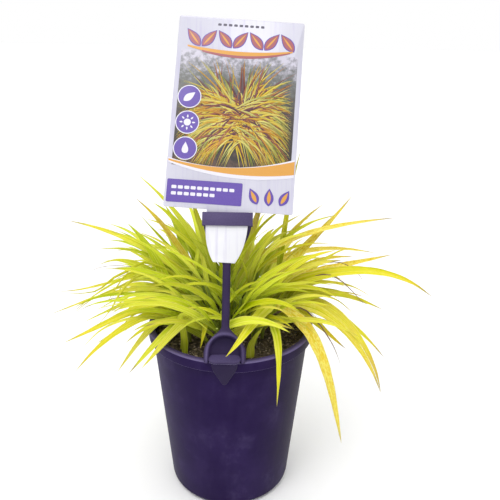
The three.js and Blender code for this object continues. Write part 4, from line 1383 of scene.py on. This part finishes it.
def rolled_ledge(s, material, steps=26, around=40):
    """The ledge that lies on the rim: a bar with rounded ends, a painted highlight on its lower edge, and a
    top that is paler with dust and painted highlight.
    """
    half, front, back, low, high = 12.1, -73.45, -61.7, 0.4, 3.5
    slope = 0.09  # how fast it rises from front to back
    bright, bright_width = 1.17 * math.pi, 0.28  # the turn round the bar where a highlight is painted on its edge
    vertices, worn = [], []
    for k in range(steps + 1):
        x = half * math.sin(math.pi * (k / steps - 0.5))
        swell = max(0.06, 1 - abs(x / half) ** 5) ** 0.4
        for j in range(around):
            turn = TURN * j / around
            c, n = (math.copysign(abs(v) ** 0.6, v) for v in (math.cos(turn), math.sin(turn)))
            y = (front + back + (back - front) * swell * c) / 2
            z = (low + high + (high - low) * swell * n) / 2 + slope * (y - front)
            vertices.append((s.place_x + x * MM, y * MM, RIM_HEIGHT + z * MM))
            painted_highlight = math.exp(-(((turn - bright) / bright_width) ** 2))
            # Dust and a painted highlight on the top, and a painted highlight on the lower edge.
            worn.append(0.1 + 0.35 * max(0.0, n) + 1.3 * painted_highlight)
    ledge = new_piece("holder_ledge", vertices, tube_faces(steps + 1, around), material=material)
    set_attribute(ledge.data, "worn", worn)
    return smooth(ledge, 60)


def rim_clip(s, material):
    """The clip over the pot's rim: a rolled ledge, a pointed nose outside, a tongue inside."""
    outside, inner = 70.35, 63.7  # from the pot's axis to the nose's back and the tongue's front
    half, drop = 9.9, 17.4
    tip = (2.9, -drop + 2.6)
    right = bezier((half, 1.4), (half, -5), (6.6, -8.2), tip)
    right += bezier(tip, (2.0, -drop + 0.8), (1.0, -drop), (0, -drop), 6)
    right.reverse()
    nose = [*mirrored(right), (0, -drop), *right]
    upright = Matrix.Rotation(math.pi / 2, 4, "X")  # its outline is in x and z
    stand = Matrix.Translation((s.place_x, 0, RIM_HEIGHT))
    parts = [rolled_ledge(s, material)]
    for name, outline, near, far, ease, shade in (
        ("holder_nose", nose, outside, outside + 2.5, 0.95, 0.42),
        ("holder_tongue", bar(-8, -9.3, 8, 1.5), inner - 2, inner, 0.6, 0.0),
    ):
        part = slab(name, outline, near, far, material)
        part.data.transform(stand @ upright)
        parts.append(smooth(eased(part, ease * MM), 40))
        # Painted shade: the nose gets a darker copy of the holder's plastic.
        set_attribute(part.data, "hollow", [shade] * len(part.data.vertices))
    return parts


class Print:
    """Flat inked shapes on the card's face. Points are in millimetres on the card."""

    def __init__(self, place, front):
        self.place, self.front = place, front
        self.vertices, self.faces, self.inks, self.materials = [], [], [], []

    def add(self, outline, layer, material):
        """A shape on one of the layers, which are counted up from the card's face."""
        if material not in self.materials:
            self.materials.append(material)
        start = len(self.vertices)
        corners, faces = plate(scaled(outline), self.front - 0.1 * MM, self.front + 0.02 * MM * (layer + 1))
        self.vertices += [self.place @ Vector(corner) for corner in corners]
        self.faces += [tuple(start + k for k in face) for face in faces]
        self.inks += [self.materials.index(material)] * len(faces)

    def piece(self, name):
        made = new_piece(name, self.vertices, self.faces)
        for material in self.materials:
            made.data.materials.append(material)
        made.data.polygons.foreach_set("material_index", self.inks)
        return made


def bar(x0, y0, x1, y1, corner=0.0, steps=6):
    """A rectangle with rounded corners, anticlockwise."""
    if corner <= 0:
        return [(x0, y0), (x1, y0), (x1, y1), (x0, y1)]
    points = []
    left, low, right, high = x0 + corner, y0 + corner, x1 - corner, y1 - corner
    centres = [(right, low), (right, high), (left, high), (left, low)]
    for quarter, (x, y) in enumerate(centres):
        for k in range(steps + 1):
            turn = math.pi / 2 * (quarter - 1 + k / steps)
            points.append((x + corner * math.cos(turn), y + corner * math.sin(turn)))
    return points


def ribbon(low, high, x0, x1, steps=28):
    """The band between two curves, each given by its height, its bend and where its middle is."""
    xs = [lerp(x0, x1, k / steps) for k in range(steps + 1)]

    def edge(height, bend, middle):
        return [(x, height + bend * (x - middle) ** 2) for x in xs]

    return edge(*low) + edge(*high)[::-1]


def lens(x, y, reach, width, turn, steps=14):
    """A pointed leaf shape about (x, y), turned from upright."""
    ts = [k / steps for k in range(steps + 1)]
    side = [(0.5 * width * math.sin(math.pi * t**0.8), reach * (t - 0.5)) for t in ts]
    loop = side + mirrored(side[1:-1])
    c, n = math.cos(turn), math.sin(turn)
    return [(x + a * c - b * n, y + a * n + b * c) for a, b in loop]


def flat_ink(name, tint):
    """One printed colour, faintly speckled."""
    t = Surface(name)
    dots = t.noise(2600.0, 1.0)
    inked = t.mix(dots * 0.07, tint, (1, 1, 1))
    return t.finish(Base_Color=inked, Roughness=0.34 + 0.08 * dots, Coat_Weight=0.12)


def panel_ink():
    """The picture's ground: pale haze at the top, dark between the leaves, warm at the foot."""
    t = Surface("printed haze")
    up = t.attribute("up")
    blots = t.noise(190.0, 5.0, 0.7)
    stops = [
        (0.0, ink(78, 58, 48)),
        (0.14, ink(34, 27, 24)),
        (0.5, ink(62, 54, 50)),
        (0.78, ink(96, 98, 96)),
        (0.92, ink(150, 148, 158)),
        (1.0, ink(190, 186, 200)),
    ]
    tint = t.ramp((up + (blots - 0.5) * 0.8).clamped(), *stops)
    return t.finish(Base_Color=tint, Roughness=0.34 + 0.06 * blots, Coat_Weight=0.12)


def printed_leaf_ink():
    """Printed leaves from plum through rust and gold to dull green, paler towards their tips."""
    t = Surface("printed leaves")
    tone, along = t.attribute("tone"), t.attribute("along")
    stops = [
        (0.0, ink(84, 44, 60)),
        (0.2, ink(142, 78, 62)),
        (0.38, ink(190, 136, 36)),
        (0.62, ink(206, 178, 40)),
        (0.82, ink(206, 198, 110)),
        (1.0, ink(112, 122, 48)),
    ]
    tint = t.ramp((tone + (along - 0.5) * 0.3).clamped(), *stops)
    return t.finish(Base_Color=tint, Roughness=0.36 + 0.05 * along, Coat_Weight=0.12)


PICTURE = (-46.5, 33.5, 46.5, 127.5)  # left, bottom, right and top of the picture on the card
# Its leaves in three layers from the back: how many, the height they start from, their steepest
# and shallowest start from upright in degrees, their length, and how far they droop.
FANS = [
    (230, 80, (0, 100), (34, 60), (0.0, 0.5)),
    (260, 74, (40, 125), (34, 62), (0.3, 0.9)),
    (230, 66, (60, 150), (24, 46), (0.5, 1.1)),
]


def printed_grass(place, front, random):
    """Paths of the picture's leaves, which arch out all round from the middle of a clump."""
    paths, normal = Paths(), place.to_3x3() @ Vector((0, 0, 1))
    left, low, right, high = PICTURE
    ts = np.linspace(0, 1, 7)
    for layer, (count, start, turns, reaches, droops) in enumerate(FANS):
        for _ in range(count):
            side = random.choice((-1, 1))
            turn = math.radians(random.uniform(*turns))
            root = np.array([3 + side * random.uniform(-4, 16), start + random.uniform(-12, 9)])
            reach = random.uniform(*reaches)
            droop = reach * random.uniform(*droops)
            while True:
                xs = root[0] + side * reach * ts * math.sin(turn) * 1.05
                ys = root[1] + reach * ts * math.cos(turn) - droop * ts**2
                fits_across = left + 1 < xs.min() and xs.max() < right - 1
                if fits_across and low - 1 < ys.min() and ys.max() < high - 5:
                    break
                reach, droop = 0.88 * reach, 0.88 * droop
            lift = front + (0.04 + 0.05 * layer + 0.04 * random.uniform()) * MM
            points = [place @ Vector((x * MM, y * MM, lift)) for x, y in zip(xs, ys)]
            run = np.gradient(np.array(points), axis=0)
            paths.add(
                points,
                along=list(0.06 + 0.94 * ts),
                right=[np.array(Vector(step).cross(normal).normalized()) for step in run],
                face=[np.array(normal)] * len(ts),
                reach=reach * MM,
                phase=0.0,
                tone=random.uniform(0, 1),
                width=random.uniform(0.9, 2.3) * MM,
            )
    return paths


def drop_sign(x, y):
    """A care sign's outlines about (x, y): a drop."""
    turns = np.linspace(0, TURN, 30)[:-1]
    return [[(x - 3.6 * math.sin(a) * math.sin(a / 2) ** 1.4, y + 0.6 + 4.6 * math.cos(a)) for a in turns]]


def sun_sign(x, y):
    """A disc with eight rays."""
    turns = [math.radians(45 * k) for k in range(8)]
    rays = [lens(x - 5 * math.sin(turn), y + 5 * math.cos(turn), 2.8, 1.3, turn, 6) for turn in turns]
    return [disc(x, y, 2.8, 28), *rays]


def leaf_sign(x, y):
    """A slanting leaf."""
    return [lens(x, y, 11.5, 5.4, math.radians(-50))]


CARE_X, CARE_RADIUS = -37, 9.4  # the round signs on the picture's left
CARE_SIGNS = ((47, drop_sign), (68, sun_sign), (89, leaf_sign))


def inked_card(s, place, front):
    """A garland of plain leaves, a picture, care signs and bars in the card's colours."""
    names = ("violet", "golden", "rose", "slate")
    violet, golden, rose, slate = (flat_ink(f"{name} ink", getattr(s, name)) for name in names)
    white, haze = flat_ink("white ink", ink(214, 212, 222)), panel_ink()
    print_ = Print(place, front)
    left, low, right, high = PICTURE
    print_.add(bar(left, low, right, high), 0, haze)
    for k in range(9):
        print_.add(bar(-19 + 4.3 * k, 149.4, -16.2 + 4.3 * k, 151.4, 0.6), 0, slate)
    for k in range(7):
        x, turn = -37.5 + 12.5 * k, math.radians(-38 if k % 2 else 38)
        for reach, width, layer, tint in (
            (18.5, 8.6, 1 + k % 2, violet),
            (16.6, 7.0, 3 + k % 2, rose),
            (13.6, 1.5, 5, golden),
        ):
            print_.add(lens(x, 138.4, reach, width, turn), layer, tint)
    for under, over, x0, x1, layer, tint in (
        ((124.6, 0.0034, 0), (128.6, 0.0018, 0), -42, 42, 12, golden),
        ((123.2, 0.0040, 0), (125.3, 0.0032, 0), -30, 40, 13, rose),
        ((25.5, 0.0026, 12), (33.8, 0.0030, -8), -49.2, 49.2, 12, white),
        ((28.4, 0.0022, 12), (33.6, 0.0026, -8), -49.2, 49.2, 13, golden),
    ):
        print_.add(ribbon(under, over, x0, x1), layer, tint)
    print_.add(bar(-48.6, 4, 10, 22, 1.0), 13, violet)
    for y, count in ((14.6, 10), (9.6, 7)):
        for k in range(count):
            print_.add(bar(-45 + 5 * k, y, -41.1 + 5 * k, y + 2.6, 0.7), 14, white)
    for k, x in enumerate((19, 31, 43)):
        turn = math.radians(28 * (1 - k))
        print_.add(lens(x, 12.5, 14, 7.4, turn), 13, violet)
        print_.add(lens(x, 12.5, 10.6, 3.0, turn), 14, golden)
    for y, sign in CARE_SIGNS:
        print_.add(disc(CARE_X, y, CARE_RADIUS), 14, white)
        print_.add(disc(CARE_X, y, CARE_RADIUS - 0.7), 15, violet)
        for outline in sign(CARE_X, y):
            print_.add(outline, 16, white)
    return print_.piece("card_print")


def card_finish(s):
    """Pale coated card with faint violet streaks down it, and its bare tongue."""
    t = Surface("pale card")
    streaks = t.noise(420.0, 2.0, at=t.place((1, 0.04, 0.04)))
    clouds = t.noise(60.0, 2.0)
    coated = t.axis(t.place(), "Z").step(s.grip_height, s.grip_height + 6 * MM)
    face = t.mix(coated, s.tongue, s.card)
    faint = ((streaks - 0.5) * 1.4 + (clouds - 0.5) * 0.3).clamped()
    tint = t.mix(faint, face, ink(168, 158, 200))
    return t.finish(Base_Color=tint, Roughness=0.26 + 0.18 * streaks, Coat_Weight=0.2)


class GRASS_OT_label(Operator):
    """Builds the spade-shaped holder, the card and its print"""

    bl_idname = "forest_grass.label"
    bl_label = "Build label"

    def execute(self, context):
        s = context.scene.forest_grass.label
        plastic, stand = holder_finish(s), holder_place(s)
        pieces = [spade_and_shaft(plastic), grip_frame(plastic), grip_bar(plastic)]
        for piece in pieces:
            piece.data.transform(stand)
        for piece in [*pieces, *rim_clip(s, plastic)]:
            seat(piece, "holder", "label_holder")
        seat(copied("label_card", "card_sheet", 0.15 * MM, card_finish(s)), "card", "label_card")
        place = stand @ Matrix.Translation((0, s.card_foot, 0)) @ Matrix.Rotation(s.tilt, 4, "Z")
        printed, back = inked_card(s, place, s.card_front), place.inverted()
        low, high = PICTURE[1], PICTURE[3]
        heights = [(back @ vertex.co).y / MM for vertex in printed.data.vertices]
        set_attribute(printed.data, "up", [(height - low) / (high - low) for height in heights])
        fans = printed_grass(place, s.card_front, np.random.default_rng(5))
        settings = {"Stations": 8, "Sides": 4, "Thickness": 0.02 * MM, "Fold": 0.0}
        leaves = grown(fans.piece("printed_leaves"), blade_tree(), **settings, Finish=printed_leaf_ink())
        seat(printed, "card")
        seat(leaves, "card")
        return {"FINISHED"}


# ---- Stage ----

FLOOR_HALF = 12  # half of the floor's side, in metres


def area_light(name, place, aim, size, power):
    light = bpy.data.lights.new(name, "AREA")
    light.shape, light.size, light.energy = "DISK", size, power
    lamp = placed(name, light)
    lamp.location = place
    lamp.rotation_euler = (Vector(aim) - Vector(place)).to_track_quat("-Z", "Y").to_euler()


class GRASS_OT_stage(Operator):
    """Sets the camera, the soft lights and the pale floor"""

    bl_idname = "forest_grass.stage"
    bl_label = "Build stage"

    def execute(self, context):
        s = context.scene.forest_grass.stage
        optics = bpy.data.cameras.new("camera")
        optics.lens, optics.sensor_width, optics.clip_start, optics.clip_end = s.lens, 36.0, 0.01, 50.0
        camera = placed("camera", optics)
        camera.location = s.camera
        camera.rotation_mode = "QUATERNION"
        turn = Matrix.Rotation(math.pi / 2 - s.pitch, 4, "X") @ Matrix.Rotation(s.roll, 4, "Z")
        camera.rotation_quaternion = turn.to_quaternion()
        context.scene.camera = camera

        t = Surface("pale floor")
        paper = t.noise(40.0, 2.0)
        finish = t.finish(Base_Color=t.mix(paper * 0.04, s.floor, (0.88, 0.88, 0.88)), Roughness=0.9)
        corners = [(x * FLOOR_HALF, y * FLOOR_HALF, 0) for x, y in ((-1, -1), (1, -1), (1, 1), (-1, 1))]
        floor = new_piece("floor", corners, [(0, 1, 2, 3)], material=finish)
        floor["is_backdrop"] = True

        area_light("key", (-0.45, -0.75, 1.5), (0, 0, 0.2), 0.7, s.key)
        world = bpy.data.worlds.new("sky")
        context.scene.world = world
        world.use_nodes = True
        t = NodeTree(world.node_tree)
        direction = t.add("ShaderNodeTexCoord", output="Generated")
        height, aside = t.axis(direction, "Z"), t.axis(direction, "X")
        glow = s.around + (s.horizon - s.around) * (1 - height.step(0.1, 0.25))
        glow = glow + (s.overhead - s.around) * height.step(0.45, 0.8)
        glow = glow * (1 - 0.4 * aside.step(0.45, 0.95) * height.step(0.2, 0.4))
        background = t.add("ShaderNodeBackground", {}, {"Color": (1, 1, 1), "Strength": glow})
        t.add("ShaderNodeOutputWorld", {}, {"Surface": background})
        context.scene.view_settings.view_transform = "Standard"
        return {"FINISHED"}


class GRASS_PT_panel(Panel):
    """Lists the steps that build the potted grass"""

    bl_idname = "GRASS_PT_panel"
    bl_label = "Forest grass"
    bl_space_type = "VIEW_3D"
    bl_region_type = "UI"
    bl_category = "Forest grass"

    def draw(self, context):
        settings = context.scene.forest_grass
        for operator, group in STEPS:
            box = self.layout.box()
            box.operator(operator.bl_idname)
            if group:
                part = getattr(settings, group)
                for name in part.bl_rna.properties.keys():
                    if name not in ("rna_type", "name"):
                        box.prop(part, name)


STEPS = [
    (GRASS_OT_pot, "pot"),
    (GRASS_OT_soil, "soil"),
    (GRASS_OT_leaves, "grass"),
    (GRASS_OT_wisps, None),
    (GRASS_OT_label, "label"),
    (GRASS_OT_stage, "stage"),
]
CLASSES = [
    PotSettings,
    SoilSettings,
    GrassSettings,
    LabelSettings,
    StageSettings,
    ForestGrassSettings,
    *(operator for operator, _ in STEPS),
    GRASS_PT_panel,
]


def register():
    for item in CLASSES:
        bpy.utils.register_class(item)
    bpy.types.Scene.forest_grass = PointerProperty(type=ForestGrassSettings)


def unregister():
    del bpy.types.Scene.forest_grass
    for item in reversed(CLASSES):
        bpy.utils.unregister_class(item)


def main():
    register()
    bpy.ops.forest_grass.pot()
    bpy.ops.forest_grass.soil()
    bpy.ops.forest_grass.leaves()
    bpy.ops.forest_grass.wisps()
    bpy.ops.forest_grass.label()
    bpy.ops.forest_grass.stage()
    boxes = {"cad": CAD_BOX, "visual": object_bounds()}
    {name: [list(corner) for corner in box] for name, box in boxes.items()}


if __name__ == "__main__":
    main()
